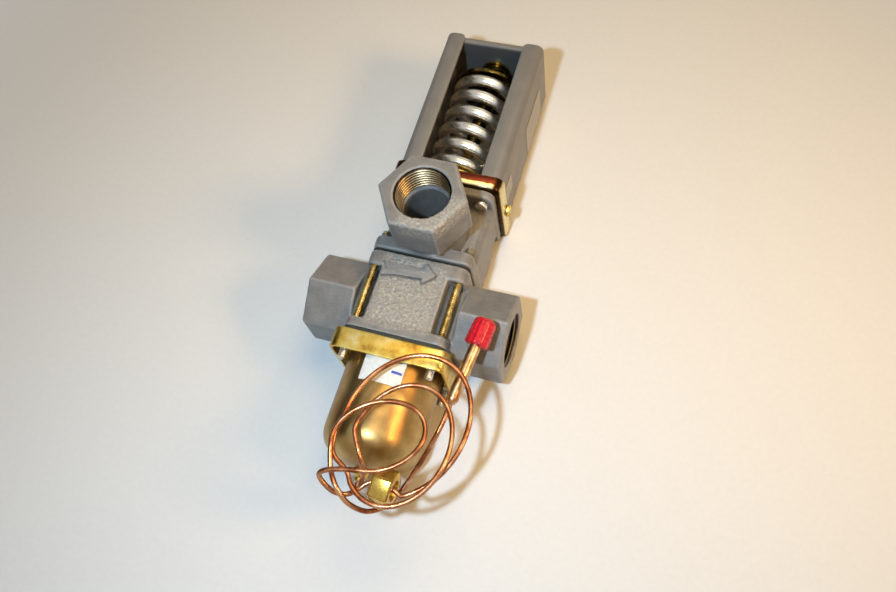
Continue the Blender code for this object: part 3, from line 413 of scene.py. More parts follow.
# painted shade in the moat round the arrow, and a dab of red marking paint
pooled = add("Attribute", {"attribute_name": "pooled"}).outputs["Fac"]
# a darker grey in the moat: painted shade
thick = add("Mix", {**onColour, 7: "#4C4D50"}, {0: pooled, 6: withPaintedGlints})
dab = {"place": (-27.6, -20.8, 28), "inner": 1.2, "outer": 2.0, "share": 0.6, "colour": "#A03A44"}
dabPlace = home + Vector(dab["place"]) * mm
fromDab = add("VectorMath", {"operation": "DISTANCE", 1: dabPlace}, {0: place})
dabRange = {"From Min": dab["outer"] * mm, "From Max": dab["inner"] * mm, "To Max": dab["share"]}
dabbed = add("MapRange", dabRange, {"Value": fromDab})
marked = add("Mix", {**onColour, 7: dab["colour"]}, {0: dabbed, 6: thick})
gloss = add("MapRange", {"To Min": 0.28, "To Max": 0.44}, {"Value": pebble})
wet = add("Math", {"operation": "MULTIPLY_ADD", 1: -0.17}, {0: roughFace, 2: gloss})
rise = add("MapRange", {"To Min": 0.4, "To Max": 1.0}, {"Value": roughFace})
swell = add("Bump", {"Distance": 0.6 * mm}, {"Height": pebble, "Strength": rise})
bumps = add("Bump", {"Distance": 0.25 * mm}, {"Height": speck, "Strength": roughFace, "Normal": swell})
feed(shader, {"Base Color": marked, "Roughness": wet, "Normal": bumps})

# the same grey on bent sheet: smoother, with a faint orange peel; the inside of the end wall is painted
# darker as painted shade
sheetPaint, add, shader, place = newMaterial("grey enamel on bent sheet")
endWallShade = {"colour": "#5A5A57", "below": 4.2, "deep": 1.6, "margin": 3.2}
houseLow, houseHigh = span("spring_housing")
shadeMiddle = home + Vector((0, houseHigh.y - endWallShade["below"], 0)) * mm
shadeWidth, shadeHeight = houseHigh.x - endWallShade["margin"], houseHigh.z - endWallShade["margin"]
shadeReach = Vector((shadeWidth, endWallShade["deep"], shadeHeight)) * mm
axes = add("SeparateXYZ", None, {"Vector": place})
within = []
for k in range(3):
    limits = {"operation": "COMPARE", 1: shadeMiddle[k], 2: shadeReach[k]}
    within.append(add("Math", limits, {0: axes.outputs[k]}))
flat = add("Math", times, {0: within[0], 1: within[2]})
shadeMask = add("Math", times, {0: flat, 1: within[1]})
cloud = add("TexNoise", {"Scale": grain(14), "Detail": 3}, {"Vector": place})
peel = add("TexNoise", {"Scale": grain(0.9), "Detail": 2}, {"Vector": place})
tone = add("ValToRGB", {"stops": ((0.3, "#74716C"), (0.7, "#7F7B76"))}, {"Fac": cloud})
# darker grey inside the end wall: painted shade
withPaintedShade = add("Mix", {**onColour, 7: endWallShade["colour"]}, {0: shadeMask, 6: tone})
dress(add, shader, withPaintedShade, peel, (0.36, 0.48), (0.25, 0.08))

# zinc with a yellow passivate: gold with drifts of orange brown and pale lemon
goldStops = ((0.3, "#A67C38"), (0.42, "#DCB854"), (0.56, "#EBD27A"), (0.7, "#FAF0C6"))
chromate = metal("yellow chromate on steel", goldStops, ((11, 4, 0.6), (0.7, 3, 0.5)), (0.24, 0.46),
    (0.2, 0.05))
# the long bolts' passivate is rubbed thin by the spanner and the casting: pale straw with olive roots
rubbedChromate = metal("rubbed chromate on steel", ((0.3, "#8E7A48"), (0.5, "#C9B67C"), (0.7, "#E6DAB0")),
    ((4, 4, 0.6),), (0.22, 0.4))
# olive passivate of the guide and the screw, made darker as painted shade for the screw between the coils
oliveChromateWithPaintedShade = metal("olive chromate on steel", ((0.3, "#302C16"), (0.5, "#5A4E26"), (0.7, "#9A7A42")),
    ((5, 4, 0.5),), (0.14, 0.3))

# the saddle's passivate with painted reflections: a painted highlight on its lower bend and flanks, the
# passivate's red-brown tint with a dark painted reflection above, painted shade at the corners
chromateWithPaintedReflections, add, shader, place = newMaterial("chromate with painted reflections on steel", Metallic=1.0)
saddleLow, saddleHigh = span("saddle_tray")
axes = add("SeparateXYZ", None, {"Vector": place})
ends = {"From Min": home.y + saddleLow.y * mm, "From Max": home.y + saddleHigh.y * mm}
climb = add("MapRange", ends, {"Value": axes.outputs["Y"]})
drift = add("TexNoise", {"Scale": grain(4), "Detail": 4, "Roughness": 0.6}, {"Vector": place})
sway = add("Math", {"operation": "MULTIPLY_ADD", 1: 0.16, 2: -0.08}, {0: drift})
paintedReflectionLevel = add("Math", {"operation": "ADD"}, {0: climb, 1: sway})
# colour by height: painted highlight at the lower bend, dark painted reflection above
paintedReflectionStops = ((0.05, "#5A4222"), (0.14, "#FCF0C4"), (0.36, "#EEDA98"), (0.44, "#6E3524"), (0.9, "#58261C"),
    (1.0, "#744630"))
tone = add("ValToRGB", {"stops": paintedReflectionStops}, {"Fac": paintedReflectionLevel})
aside = add("Math", {"operation": "ABSOLUTE"}, {0: axes.outputs["X"]})
outward = add("MapRange", {"From Max": saddleHigh.x * mm}, {"Value": aside})
# painted shade at the corners, painted highlight on the flanks
cornerShadeStops = ((0.8, "#000000"), (0.87, "#FFFFFF"), (0.95, "#FFFFFF"), (0.975, "#000000"))
cornerShadeMask = add("ValToRGB", {"stops": cornerShadeStops}, {"Fac": outward})
flankHighlightMask = add("ValToRGB", {"stops": ((0.96, "#000000"), (0.985, "#FFFFFF"))}, {"Fac": outward})
withCornerShade = add("Mix", {**onColour, 7: "#3C2412"}, {0: cornerShadeMask, 6: tone})
withFlankHighlight = add("Mix", {**onColour, 7: "#E6D394"}, {0: flankHighlightMask, 6: withCornerShade})
dress(add, shader, withFlankHighlight, drift, (0.2, 0.36))

# bright zinc on spring wire and screws: silvery with a slight warm cast
zinc = metal("bright zinc on steel", ((0.3, "#D6CFC2"), (0.7, "#F2EDE3")), ((6, 3, 0.5), (0.5, 2, 0.5)),
    (0.22, 0.34))
# bolt tips that caught the grey spray: dull and patchy
dullZinc = patchy("overspray on bolt tips", ((0.35, "#6E6A64"), (0.65, "#A8A399")), ((1.5, 4, 0.5),),
    (0.3, 0.55), Metallic=0.6)

# deep drawn brass: long draw streaks up the wall and brown handling stains
drawnBrass, add, shader, place = newMaterial("drawn brass", Metallic=1.0)
stretch = add("Mapping", {"Scale": (1.0, 0.08, 1.0)}, {"Vector": place})
streak = add("TexNoise", {"Scale": grain(1.4), "Detail": 3}, {"Vector": stretch})
stain = add("TexNoise", {"Scale": grain(16), "Detail": 4}, {"Vector": place})
stainStops = ((0.32, "#A07C44"), (0.5, "#B8945A"), (0.68, "#CCAE74"))
tone = add("ValToRGB", {"stops": stainStops}, {"Fac": stain})
lined = add("Mix", {**onColour, "blend_type": "MULTIPLY", 0: 0.25}, {6: tone, 7: streak.outputs["Color"]})
dress(add, shader, lined, streak, (0.3, 0.46), (0.15, 0.05))

# machined brass of the nut and ferrule: paler, with fine turning marks
turnedBrass = metal("turned brass", ((0.3, "#BA9038"), (0.7, "#DDBA62")), ((5, 3, 0.5), (0.6, 3, 0.5)),
    (0.18, 0.34))
# handled copper tube: brown patches over salmon metal
copper = metal("handled copper", ((0.32, "#844A2E"), (0.5, "#B2744C"), (0.68, "#DAA87E")),
    ((9, 4, 0.5), (0.6, 2, 0.5)), (0.2, 0.38))
# the charging stub's copper is newer: golden with a soft sheen
goldCopper = metal("fresh drawn copper", ((0.32, "#B4744A"), (0.5, "#CE9C6A"), (0.68, "#E6C296")),
    ((6, 3, 0.5), (0.6, 2, 0.5)), (0.22, 0.4))

# bare metal of the cut threads: painted shade darkens the thread roots below the crests
cutMetal, add, shader, place = newMaterial("freshly cut iron", Metallic=1.0)
chatter = add("TexNoise", {"Scale": grain(0.9), "Detail": 3}, {"Vector": place})
tone = add("ValToRGB", {"stops": ((0.3, "#A08A64"), (0.7, "#CCB48A"))}, {"Fac": chatter})
height = add("Attribute", {"attribute_name": "crest"}).outputs["Fac"]
# lifts the crests out of the painted root shade
bright = add("MapRange", {"From Min": 0.6, "From Max": 0.92}, {"Value": height})
paintedRootShade = add("Mix", {**onColour, 6: "#3A2C22"}, {0: bright, 7: tone})
dress(add, shader, paintedRootShade, chatter, (0.24, 0.4))

# shipping cap: soft glossy vinyl, slightly rippled
vinyl = patchy("red dipped vinyl", ((0.3, "#C00D20"), (0.7, "#D8162C")), ((2.6, 2, 0.5),), (0.2, 0.36),
    (0.3, 0.2))
# dark fibre gasket and moulded rubber: matt and slightly mottled
gasketFibre = patchy("dark moulded rubber", ((0.3, "#20241F"), (0.7, "#363B34")), ((1.5, 4, 0.5),),
    (0.6, 0.85))
# ground stainless of stem and seats: cool, finely marked
stainless = metal("ground stainless", ((0.3, "#9FA1A2"), (0.7, "#C6C8C8")), ((0.5, 3, 0.5),), (0.2, 0.36))
# blank label stock: white paper, faintly yellowed
paper = patchy("white label paper", ((0.3, "#E6E3D8"), (0.7, "#F6F5EE")), ((2.2, 4, 0.5),), (0.42, 0.6))
# the housing's label has yellowed almost to the wall's tone
agedPaper = patchy("aged label paper", ((0.3, "#A29C93"), (0.7, "#B6B0A6")), ((3.5, 4, 0.5),), (0.4, 0.6))
# pen ink on the cup's label: darker where the pen dwelt
ink = patchy("blue pen ink", ((0.3, "#1C3FA8"), (0.7, "#4A6CC9")), ((0.8, 2, 0.5),), Roughness=0.45)

print("stage: capillary tube")
ferruleLow, ferruleHigh = span("cup_ferrule")
tube = {
    "radius": 1.35, "sides": 6, "clearance": 0.3, "spacing": 1.6, "turnEvery": 15, "straightOut": 2.4,
    "straightIn": 2.7, "nutTurn": -5, "nutHalf": 6.5, "nutHang": 1.7,
    "stubFoot": (41.4, -53.2, 26.5), "stubHead": (48.0, -7.9, 33.2),
    "fromCup": ((0, -105.2, 2.2), (3, -107, 9.5), (7, -105, 19), (8.6, -98.5, 27.5), (4.6, -90.5, 32.8)),
    "middle": {"centre": (24.2, -82.0), "half": (25.3, 32.5), "tilt": -10, "turn": (184, -134),
        "height": (34.0, 36.2)},
    "toOuter": ((-6.6, -95.5, 36.4), (-9, -86, 37.6)),
    "outer": {"centre": (23.9, -71.0), "half": (30.4, 38.6), "tilt": -18.4, "turn": (202, -52),
        "height": (39.0, 29.6)},
    "fromNut": ((10, -108, 29.8), (5.5, -112.4, 31.6), (-0.5, -113.2, 33.6), (-6.2, -110.8, 37),
        (-8.8, -107.8, 40.4), (-5.4, -105.4, 43), (2.8, -103, 43.8)),
    "inner": {"centre": (14.4, -82.4), "half": (24.2, 17.6), "tilt": 27.6, "turn": (-118, 176),
        "height": (44.0, 42.0)},
    "toStub": ((-6.4, -97.5, 40.8), (-3.8, -104.5, 39.2), (1.5, -111.5, 38.6), (8, -116.5, 32),
        (16, -116, 20), (24, -108, 13.5), (29, -97.5, 14.5), (33.8, -86, 19.5), (37.6, -74.5, 23),
        (40, -64, 25)),
}


def loopPoints(loop):
    # stations round one tilted oval turn of the coil, rising from one height to the other
    start, end = loop["turn"]
    steps = round(abs(end - start) / tube["turnEvery"])
    tilt = math.radians(loop["tilt"])
    points = []
    for angle, height in zip(evenly(start, end, steps), evenly(*loop["height"], steps)):
        a = math.radians(angle)
        along, across = loop["half"][0] * math.cos(a), loop["half"][1] * math.sin(a)
        points.append((
            loop["centre"][0] + along * math.cos(tilt) - across * math.sin(tilt),
            loop["centre"][1] + along * math.sin(tilt) + across * math.cos(tilt),
            height,
        ))
    return points


def smoothLine(stations, spacing):
    # a smooth line through every station, with points about the spacing apart
    padded = [stations[0], *stations, stations[-1]]
    points = []
    for before, start, end, after in zip(padded, padded[1:], padded[2:], padded[3:]):
        steps = max(1, round((end - start).length / spacing))
        for t in evenly(0, 1, steps)[:-1]:
            curve = (2 * before - 5 * start + 4 * end - after) * t * t
            sway = (3 * start - before - 3 * end + after) * t * t * t
            points.append((2 * start + (end - before) * t + curve + sway) / 2)
    return [*points, stations[-1]]


def wire(name, points, radius, sides):
    # a round wire along points in mm, as one open curve
    data = bpy.data.curves.new(name, "CURVE")
    data.dimensions = "3D"
    data.bevel_depth = radius * mm
    data.bevel_resolution = sides
    data.use_fill_caps = True
    spline = data.splines.new("POLY")
    spline.points.add(len(points) - 1)
    for point, at in zip(spline.points, points):
        point.co = (*(home + Vector(at) * mm), 1)
    return placed(name, data)


inNut = centreOf("flare_nut") + Vector((0, 0, tube["nutHang"]))
alongNut = Matrix.Rotation(math.radians(tube["nutTurn"]), 3, "Z") @ Vector((tube["nutHalf"], 0, 0))
stubFoot, stubHead = Vector(tube["stubFoot"]), Vector(tube["stubHead"])
stubBack = (stubFoot - stubHead).normalized()
tubeStart = Vector((0, ferruleLow.y - tube["clearance"], 0))
beforeNut = [*tube["fromCup"], *loopPoints(tube["middle"]), *tube["toOuter"], *loopPoints(tube["outer"])]
afterNut = [*tube["fromNut"], *loopPoints(tube["inner"]), *tube["toStub"]]
stations = [tubeStart - Vector((0, tube["straightOut"], 0)), *map(Vector, beforeNut), inNut + alongNut,
    inNut - alongNut, *map(Vector, afterNut), stubFoot + stubBack * tube["straightIn"]]
route = [tubeStart, *smoothLine(stations, tube["spacing"]), stubFoot + stubBack * tube["clearance"]]
capillary = wire("capillary_coil", route, tube["radius"], tube["sides"])
assign(capillary, copper, "copper", "capillary_tube")

print("stage: castings")
casting = {"voxel": 0.7, "smooth": 3, "rough": 0.12, "roughSize": 2.4, "roughDepth": 3, "coarse": 1.1,
    "coarseSize": 1.8, "coarseDepth": 2, "fade": 6.0, "lowerFace": ((-21, -23, 18), (21, 26, 40)),
    "upperFace": ((-10, 20, 50), (32, 50, 76))}


def sandCloud(name, size, depth):
    cloud = bpy.data.textures.new(name, "CLOUDS")
    cloud.noise_scale = size
    cloud.noise_depth = depth
    return cloud


pebbleCloud = sandCloud("sand cast skin", casting["roughSize"], casting["roughDepth"])
coarseCloud = sandCloud("coarse sand face", casting["coarseSize"], casting["coarseDepth"])


def castSkin(node, name, roughBox):
    # one rounded skin over the machined-square CAD shape, with the unevenness of sand casting
    piece = copyOf(node, name)
    change(piece, "REMESH", mode="VOXEL", voxel_size=casting["voxel"])
    change(piece, "SMOOTH", factor=0.5, iterations=casting["smooth"])
    change(piece, "DISPLACE", texture=pebbleCloud, texture_coords="LOCAL", strength=casting["rough"],
        mid_level=0.5)
    # the faces that took the rough side of the mould, kept as an attribute for the paint
    low, high = roughBox
    shares = []
    for point in piece.data.vertices:
        inside = min(min(point.co[k] - low[k], high[k] - point.co[k]) for k in range(3))
        shares.append(share(inside / casting["fade"]))
    group = piece.vertex_groups.new(name="coarse")
    for i, weight in enumerate(shares):
        if weight > 0:
            group.add([i], weight, "REPLACE")
    change(piece, "DISPLACE", texture=coarseCloud, texture_coords="LOCAL", strength=casting["coarse"],
        mid_level=0.5, vertex_group="coarse")
    piece.vertex_groups.clear()
    keepValues(piece, "roughFace", shares)
    work(piece)
    bpy.ops.object.shade_smooth()
    return piece


arrow = {"back": 26.6, "front": 29.4, "edge": 0.35, "rough": 0.3, "moat": 1.3, "moatDepth": 0.5, "pool": 0.75,
    "halfWidth": 22, "above": 6, "outline": ((-18.5, 17.7), (-13.5, 17.0), (4.9, 17.2), (5.4, 21.2),
    (12.8, 14.6), (6.4, 8.8), (5.4, 11.4), (-11.5, 10.3), (-18.0, 9.1), (-15.6, 13.3))}


def fromOutline(x, y):
    # distance in mm from a place on the block's face to the arrow's outline
    nearest = []
    outline = arrow["outline"]
    for start, end in zip(outline, (*outline[1:], outline[0])):
        foot, along, spot = Vector(start), Vector(end) - Vector(start), Vector((x, y))
        t = share((spot - foot).dot(along) / along.length_squared)
        nearest.append((spot - foot - along * t).length)
    return min(nearest)


lowerSkin = castSkin("lower_casting", "lower_casting_skin", casting["lowerFace"])
moat = [0.0] * len(lowerSkin.data.vertices)
for i, point in enumerate(lowerSkin.data.vertices):
    x, y, z = point.co
    if z > arrow["back"] and abs(x) < arrow["halfWidth"] and y > arrow["above"]:
        moat[i] = max(0.0, 1 - fromOutline(x, y) / arrow["moat"])
        point.co.z -= arrow["moatDepth"] * moat[i]
# the moat's painted shade, kept for the paint to read
keepValues(lowerSkin, "pooled", [arrow["pool"] * depth for depth in moat])
settle(lowerSkin, castingPaint, "casting_paint", "lower_casting")
upperSkin = castSkin("upper_casting", "upper_casting_skin", casting["upperFace"])
settle(upperSkin, castingPaint, "casting_paint", "upper_casting")

port = {"mouth": 15.95, "depth": 18, "taper": 0.6, "pitch": 2.209, "crest": 1.0, "proud": 0.15, "wall": 0.6,
    "chamfer": 0.9, "lead": 0.4, "lip": 0.1, "inset": 0.2, "sideY": -1.6, "frontY": 46.6}


def threadLiner(name):
    # the cut thread of a port: mouth at zero, running in along -Y
    bore = port["mouth"] - port["proud"]
    back = bore + port["wall"]
    end = -port["depth"]
    profile = [(bore, end), *rows(bore, end + port["lead"], -port["chamfer"], 10), (back, -port["lip"]),
        (back, end), (bore, end)]
    piece = turned(name, profile, 96)
    smoothOff(piece, 40)
    joined(piece, ridge("tooth", bore, bore - port["crest"], end, -port["chamfer"] / 2, port["pitch"], 72))
    crests = []
    for point in piece.data.vertices:
        r = radiusOf(point)
        crests.append(share((bore - r) / port["crest"]))
        setRadius(point, r + port["taper"] * point.co.y / port["depth"])
    keepValues(piece, "crest", crests)
    return piece


lowerLow, lowerHigh = span("lower_casting")
frontFace = span("upper_casting")[1].z
mouths = {
    "front_port_thread": ((0, port["frontY"], frontFace - port["inset"]), (0, 0, 1)),
    "right_port_thread": ((lowerHigh.x - port["inset"], port["sideY"], 0), (1, 0, 0)),
    "left_port_thread": ((lowerLow.x + port["inset"], port["sideY"], 0), (-1, 0, 0)),
}
liner = threadLiner("port thread")
for name, (mouth, outward) in mouths.items():
    settle(aim(copied(liner, name), mouth, outward), cutMetal, "casting_paint")
bpy.data.objects.remove(liner)

flowArrow = added("flow_arrow", bpy.ops.mesh.primitive_circle_add, vertices=len(arrow["outline"]), radius=1,
    fill_type="NGON")
for point, (x, y) in zip(flowArrow.data.vertices, arrow["outline"]):
    point.co = (x, y, arrow["back"])
pick(flowArrow, "FACE", lambda face: True)
bpy.ops.mesh.extrude_region_move(TRANSFORM_OT_translate={"value": (0, 0, arrow["front"] - arrow["back"])})
bpy.ops.mesh.select_all(action="SELECT")
bpy.ops.mesh.normals_make_consistent(inside=False)
closeEdit()
rounded(flowArrow, arrow["edge"], 3, 40)
smoothOff(flowArrow, 60)
keepValues(flowArrow, "roughFace", [arrow["rough"]] * len(flowArrow.data.vertices))
settle(flowArrow, castingPaint, "casting_paint")

print("stage: sheet metal")
house = {"sheet": 2.0, "bend": 5.2, "lip": 12.3, "steps": 9, "corner": 3.2, "edge": 0.4, "hem": 10.0,
    "setBack": 1.2, "wallTop": 1.2, "hemSheet": 2.0, "hemOverlap": 0.5, "roll": 1.45, "screwHole": 2.4,
    "spindleHole": 5.3, "past": 1, "drill": 40}


def foldedSide(name, side):
    # one wall with its two lips, drawn along the middle of the sheet and pulled up
    half = house["sheet"] / 2
    x, z = houseHigh.x - half, houseHigh.z - half
    r = house["bend"] - half
    lipEnd = houseHigh.x - house["lip"]
    front = bend((x - r, z - r), r, 90, 0, house["steps"])
    back = bend((x - r, r - z), r, 0, -90, house["steps"])
    piece = drawn(name, [(side * a, houseLow.y, b) for a, b in [(lipEnd, z), *front, *back, (lipEnd, -z)]])
    bpy.ops.mesh.select_mode(type="EDGE")
    bpy.ops.mesh.extrude_edges_move(TRANSFORM_OT_translate={"value": (0, houseHigh.y - houseLow.y, 0)})
    closeEdit()
    change(piece, "SOLIDIFY", thickness=house["sheet"], offset=0, use_even_offset=True)
    cleanUp(piece)

    def lipCorner(line):
        ends = [piece.data.vertices[i].co for i in line.vertices]
        return all(abs(abs(end.x) - lipEnd) < close and end.y > houseHigh.y - close for end in ends)

    roundPicked(piece, lipCorner, house["corner"])
    rounded(piece, house["edge"], 3, 40)
    return smoothOff(piece)


rightFold = foldedSide("housing_sheet", 1)
leftFold = foldedSide("left fold", -1)
depth = houseHigh.z - house["setBack"]
wallTop = houseHigh.y - house["wallTop"]
wallLow = wallTop - house["sheet"]
inside = houseHigh.x - house["sheet"] / 2
endWall = addBox("end wall", (-inside, wallLow, -depth), (inside, wallTop, depth))
past = house["past"]
combine(endWall, pin("spindle hole", house["spindleHole"], wallLow - past, wallTop + past, 40), "DIFFERENCE")
for sign in (-1, 1):
    near, far = sorted((sign * depth, sign * (depth - house["hem"])))
    hemLow, hemTop = wallLow - house["hemSheet"], wallLow + house["hemOverlap"]
    hem = addBox("hem", (-inside, hemLow, near), (inside, hemTop, far))
    combine(endWall, hem, "UNION")


def foldEdge(line):
    ends = [endWall.data.vertices[i].co for i in line.vertices]
    return all(abs(abs(end.z) - depth) < close / 2 for end in ends) and abs(ends[0].x - ends[1].x) > 1


cleanUp(endWall)
dissolved(endWall, 1)
roundPicked(endWall, foldEdge, house["roll"])
smoothOff(endWall)
combine(rightFold, leftFold, "UNION")
combine(rightFold, endWall, "UNION")
screwDrill = pin("screw drill", house["screwHole"], -house["drill"], house["drill"], 24)
aim(screwDrill, (0, *centreOf("side_screw_right").yz), (1, 0, 0))
combine(rightFold, screwDrill, "DIFFERENCE")
cleanUp(rightFold, weld / 2)
smoothOff(rightFold)
settle(rightFold, sheetPaint, "sheet_paint", "spring_housing")
pressing = {"width": 0.5, "segments": 3}
pressed = {"saddle_tray": ("saddle_pressing", chromateWithPaintedReflections), "bellows_tray": ("bellows_pressing", chromate)}
for node, (name, material) in pressed.items():
    settle(softened(node, name, **pressing), material, "yellow_chromate", node)

gasketLow, gasketHigh = span("tray_gasket")
# widened past the real gasket so its dark edge stands as painted shade in the gap under the tray
seal = {"up": 0.7, "down": 0.2, "spread": 1.022, "edge": 0.3}
gasketWithShadeGap = copyOf("tray_gasket", "tray_gasket_and_shade_gap")
dissolved(gasketWithShadeGap)
gasketMiddle = centreOf("tray_gasket").y
for point in gasketWithShadeGap.data.vertices:
    upper = point.co.y > gasketMiddle
    point.co.x *= seal["spread"]
    point.co.z *= seal["spread"]
    point.co.y = gasketHigh.y + seal["up"] if upper else gasketLow.y - seal["down"]
rounded(gasketWithShadeGap, seal["edge"], 2, 40)
smoothOff(gasketWithShadeGap)
settle(gasketWithShadeGap, gasketFibre, "black_rubber", "tray_gasket")

print("stage: spring and its seats")
springLow, springHigh = span("range_spring")
spring = {"wire": 7.1, "mean": 19.1, "turns": 5.69, "end": 0.45, "start": -67, "steps": 56, "sides": 12}


def springRise(turn):
    # the end turns close up on their seats
    end, total = spring["end"], spring["turns"]
    if turn < end:
        return turn * turn / (2 * end)
    if turn > total - end:
        return total - end - (total - turn) ** 2 / (2 * end)
    return turn - end / 2


def springHalf(name, first, last):
    low, high = springLow.y + spring["wire"] / 2, springHigh.y - spring["wire"] / 2
    pitch = (high - low) / (spring["turns"] - spring["end"])
    count = round((last - first) * spring["steps"])
    points = []
    for turn in evenly(first, last, count):
        a = math.radians(spring["start"]) + math.tau * turn
        x, z = spring["mean"] * math.cos(a), spring["mean"] * math.sin(a)
        points.append((x, low + pitch * springRise(turn), z))
    work(wire(name, points, spring["wire"] / 2, spring["sides"]))
    bpy.ops.object.convert(target="MESH")
    piece = bpy.context.active_object
    assign(piece, zinc, "bright_zinc", "range_spring")
    return smoothOff(piece, 40)


lowerHalf = springHalf("spring_lower_half", 0, spring["turns"] / 2)
upperHalf = springHalf("spring_upper_half", spring["turns"] / 2, spring["turns"])
for springPiece, joint in ((lowerHalf, "stem_lift"), (upperHalf, "guide_travel")):
    limits = next(row["range_m"] for row in frame["joints"] if row["name"] == joint)
    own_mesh(springPiece)

seatLow, seatHigh = span("lower_spring_follower")
seat = {"radius": seatHigh.x, "plate": 2.4, "hub": 8.0, "bore": 3.8, "roof": 2.2, "edge": 0.6, "fillet": 1}
under = seatHigh.y - seat["plate"]
edge, hub, bore = seat["edge"], seat["hub"], seat["bore"]
rim = seat["radius"] - edge
profile = [(0, seatHigh.y), (rim, seatHigh.y), *bend((rim, seatHigh.y - edge), edge, 90, 0, 4),
    *bend((rim, under + edge), edge, 0, -90, 4), (hub + seat["fillet"], under), (hub, under - seat["fillet"]),
    (hub, seatLow.y + edge), (hub - edge, seatLow.y), (bore, seatLow.y), (bore, seatHigh.y - seat["roof"]),
    (0, seatHigh.y - seat["roof"])]
follower = smoothOff(turned("spring_seat_lower", profile, 72))
settle(follower, chromate, "yellow_chromate", "lower_spring_follower", body="stem")

guideLow, guideHigh = span("upper_spring_guide")
guide = {"radius": guideHigh.x, "plate": 2.4, "hub": 9.5, "bore": 5.0, "round": 4.0, "edge": 0.6,
    "fillet": 1.4, "chamfer": 0.3}
shoulder = guideLow.y + guide["plate"]
edge, fillet, bore, crown = guide["edge"], guide["fillet"], guide["bore"], guide["round"]
rim = guide["radius"] - edge
profile = [(bore, guideLow.y), (rim, guideLow.y), *bend((rim, guideLow.y + edge), edge, -90, 0, 4),
    *bend((rim, shoulder - edge), edge, 0, 90, 4),
    *bend((guide["hub"] + fillet, shoulder + fillet), fillet, -90, -180, 5),
    *bend((guide["hub"] - crown, guideHigh.y - crown), crown, 0, 80, 8),
    (bore + guide["chamfer"], guideHigh.y), (bore, guideHigh.y - guide["chamfer"]), (bore, guideLow.y)]
upperSeat = smoothOff(turned("spring_seat_upper", profile, 72))
settle(upperSeat, oliveChromateWithPaintedShade, "yellow_chromate", "upper_spring_guide", body="guide")

print("stage: adjusting screw")
screwLow, screwHigh = span("adjusting_screw")
screw = {"radius": 4.7, "point": 1.2, "collar": 8.0, "collarEdge": 0.5, "collarThick": 3.0, "collarGap": 0.3,
    "runOut": 1.0, "pitch": 1.5875, "depth": 0.75, "head": 9.5, "headEdge": 0.7, "headLength": 12.5,
    "headSunk": 2}
collarTop = span("thrust_washer")[0].y - screw["collarGap"]
collarLow = collarTop - screw["collarThick"]
headLow = screwHigh.y - screw["headLength"]
root = screw["radius"] - screw["depth"]
collar, edge = screw["collar"], screw["collarEdge"]
profile = [(0, screwLow.y), (screw["radius"] - screw["point"], screwLow.y),
    (root, screwLow.y + screw["point"]), (root, collarLow), (collar - edge, collarLow),
    (collar, collarLow + edge), (collar, collarTop - edge), (collar - edge, collarTop), (root, collarTop),
    (root, headLow + screw["headSunk"]), (0, headLow + screw["headSunk"])]
screwPiece = turned("adjusting_screw_turned", profile, 40)
half = screw["head"] / 2
head = addBox("square head", (-half, headLow, -half), (half, screwHigh.y, half))
rounded(head, screw["headEdge"], 3)
combine(screwPiece, head, "UNION")
cleanUp(screwPiece)
smoothOff(screwPiece, 40)
threadLow, threadEnd = screwLow.y + screw["point"], collarLow - screw["runOut"]
joined(screwPiece, ridge("screw thread", root, screw["radius"], threadLow, threadEnd, screw["pitch"]))
settle(screwPiece, oliveChromateWithPaintedShade, "yellow_chromate", "adjusting_screw", body="screw")
screwPiece.data.materials.append(rubbedChromate)
for face in screwPiece.data.polygons:
    face.material_index = 1 if (face.center.y - home.y) / mm > collarTop else 0

print("stage: bellows cup")
cupLow, cupHigh = span("bellows_cup")
cup = {"radius": cupHigh.x, "sheet": 1.0, "shoulder": 19.0, "full": 2.35, "hole": 1.5, "rimGap": 1,
    "domeGap": 2}


def domeProfile(radius, end, start, least, steps=26):
    # a drawn end: nearly flat in the middle with a full round shoulder
    points = []
    for a in evenly(0, math.pi / 2, steps):
        r = radius * abs(math.cos(a)) ** (2 / cup["full"])
        y = start + (end - start) * math.sin(a) ** (2 / cup["full"])
        if r > least:
            points.append((r, y))
    return [*points, (least, end)]


domeStart = cupLow.y + cup["shoulder"]
inside = cup["radius"] - cup["sheet"]
outerDome = domeProfile(cup["radius"], cupLow.y, domeStart, cup["hole"])
innerDome = domeProfile(inside, cupLow.y + cup["sheet"], domeStart, cup["hole"])
wall = rows(cup["radius"], cupHigh.y - cup["rimGap"], domeStart + cup["domeGap"], 8)
profile = [(inside, cupHigh.y), (cup["radius"], cupHigh.y), *wall, *outerDome, *reversed(innerDome),
    (inside, cupHigh.y)]
cupPiece = smoothOff(turned("drawn_cup", profile, 120), 40)
settle(cupPiece, drawnBrass, "brass", "bellows_cup")

label = {"lift": 0.16, "thick": 0.12, "angles": (-24, 25), "low": -51.5, "high": -37.4, "dash": (12.5, 23.5),
    "dashLow": -44.6, "dashHigh": -43.2, "inkThick": 0.05}


def wrap(name, radius, low, high, angles, thick, steps=180):
    # a strip lying on the round wall between two angles from the front
    piece = turned(name, rows(radius, low, high, 6), steps)

    def outside(face):
        return not angles[0] <= math.degrees(math.atan2(face.center.x, face.center.z)) <= angles[1]

    pick(piece, "FACE", outside)
    bpy.ops.mesh.delete(type="FACE")
    closeEdit()
    change(piece, "SOLIDIFY", thickness=thick, offset=1)
    cleanUp(piece, weld / 4)
    return smoothOff(piece, 30)


labelRadius = cup["radius"] + label["lift"]
cupLabel = wrap("cup_label", labelRadius, label["low"], label["high"], label["angles"], label["thick"])
settle(cupLabel, paper, "brass")
dashRadius = labelRadius + label["thick"] + label["inkThick"]
penDash = wrap("pen_dash", dashRadius, label["dashLow"], label["dashHigh"], label["dash"], label["inkThick"])
settle(penDash, ink, "brass")

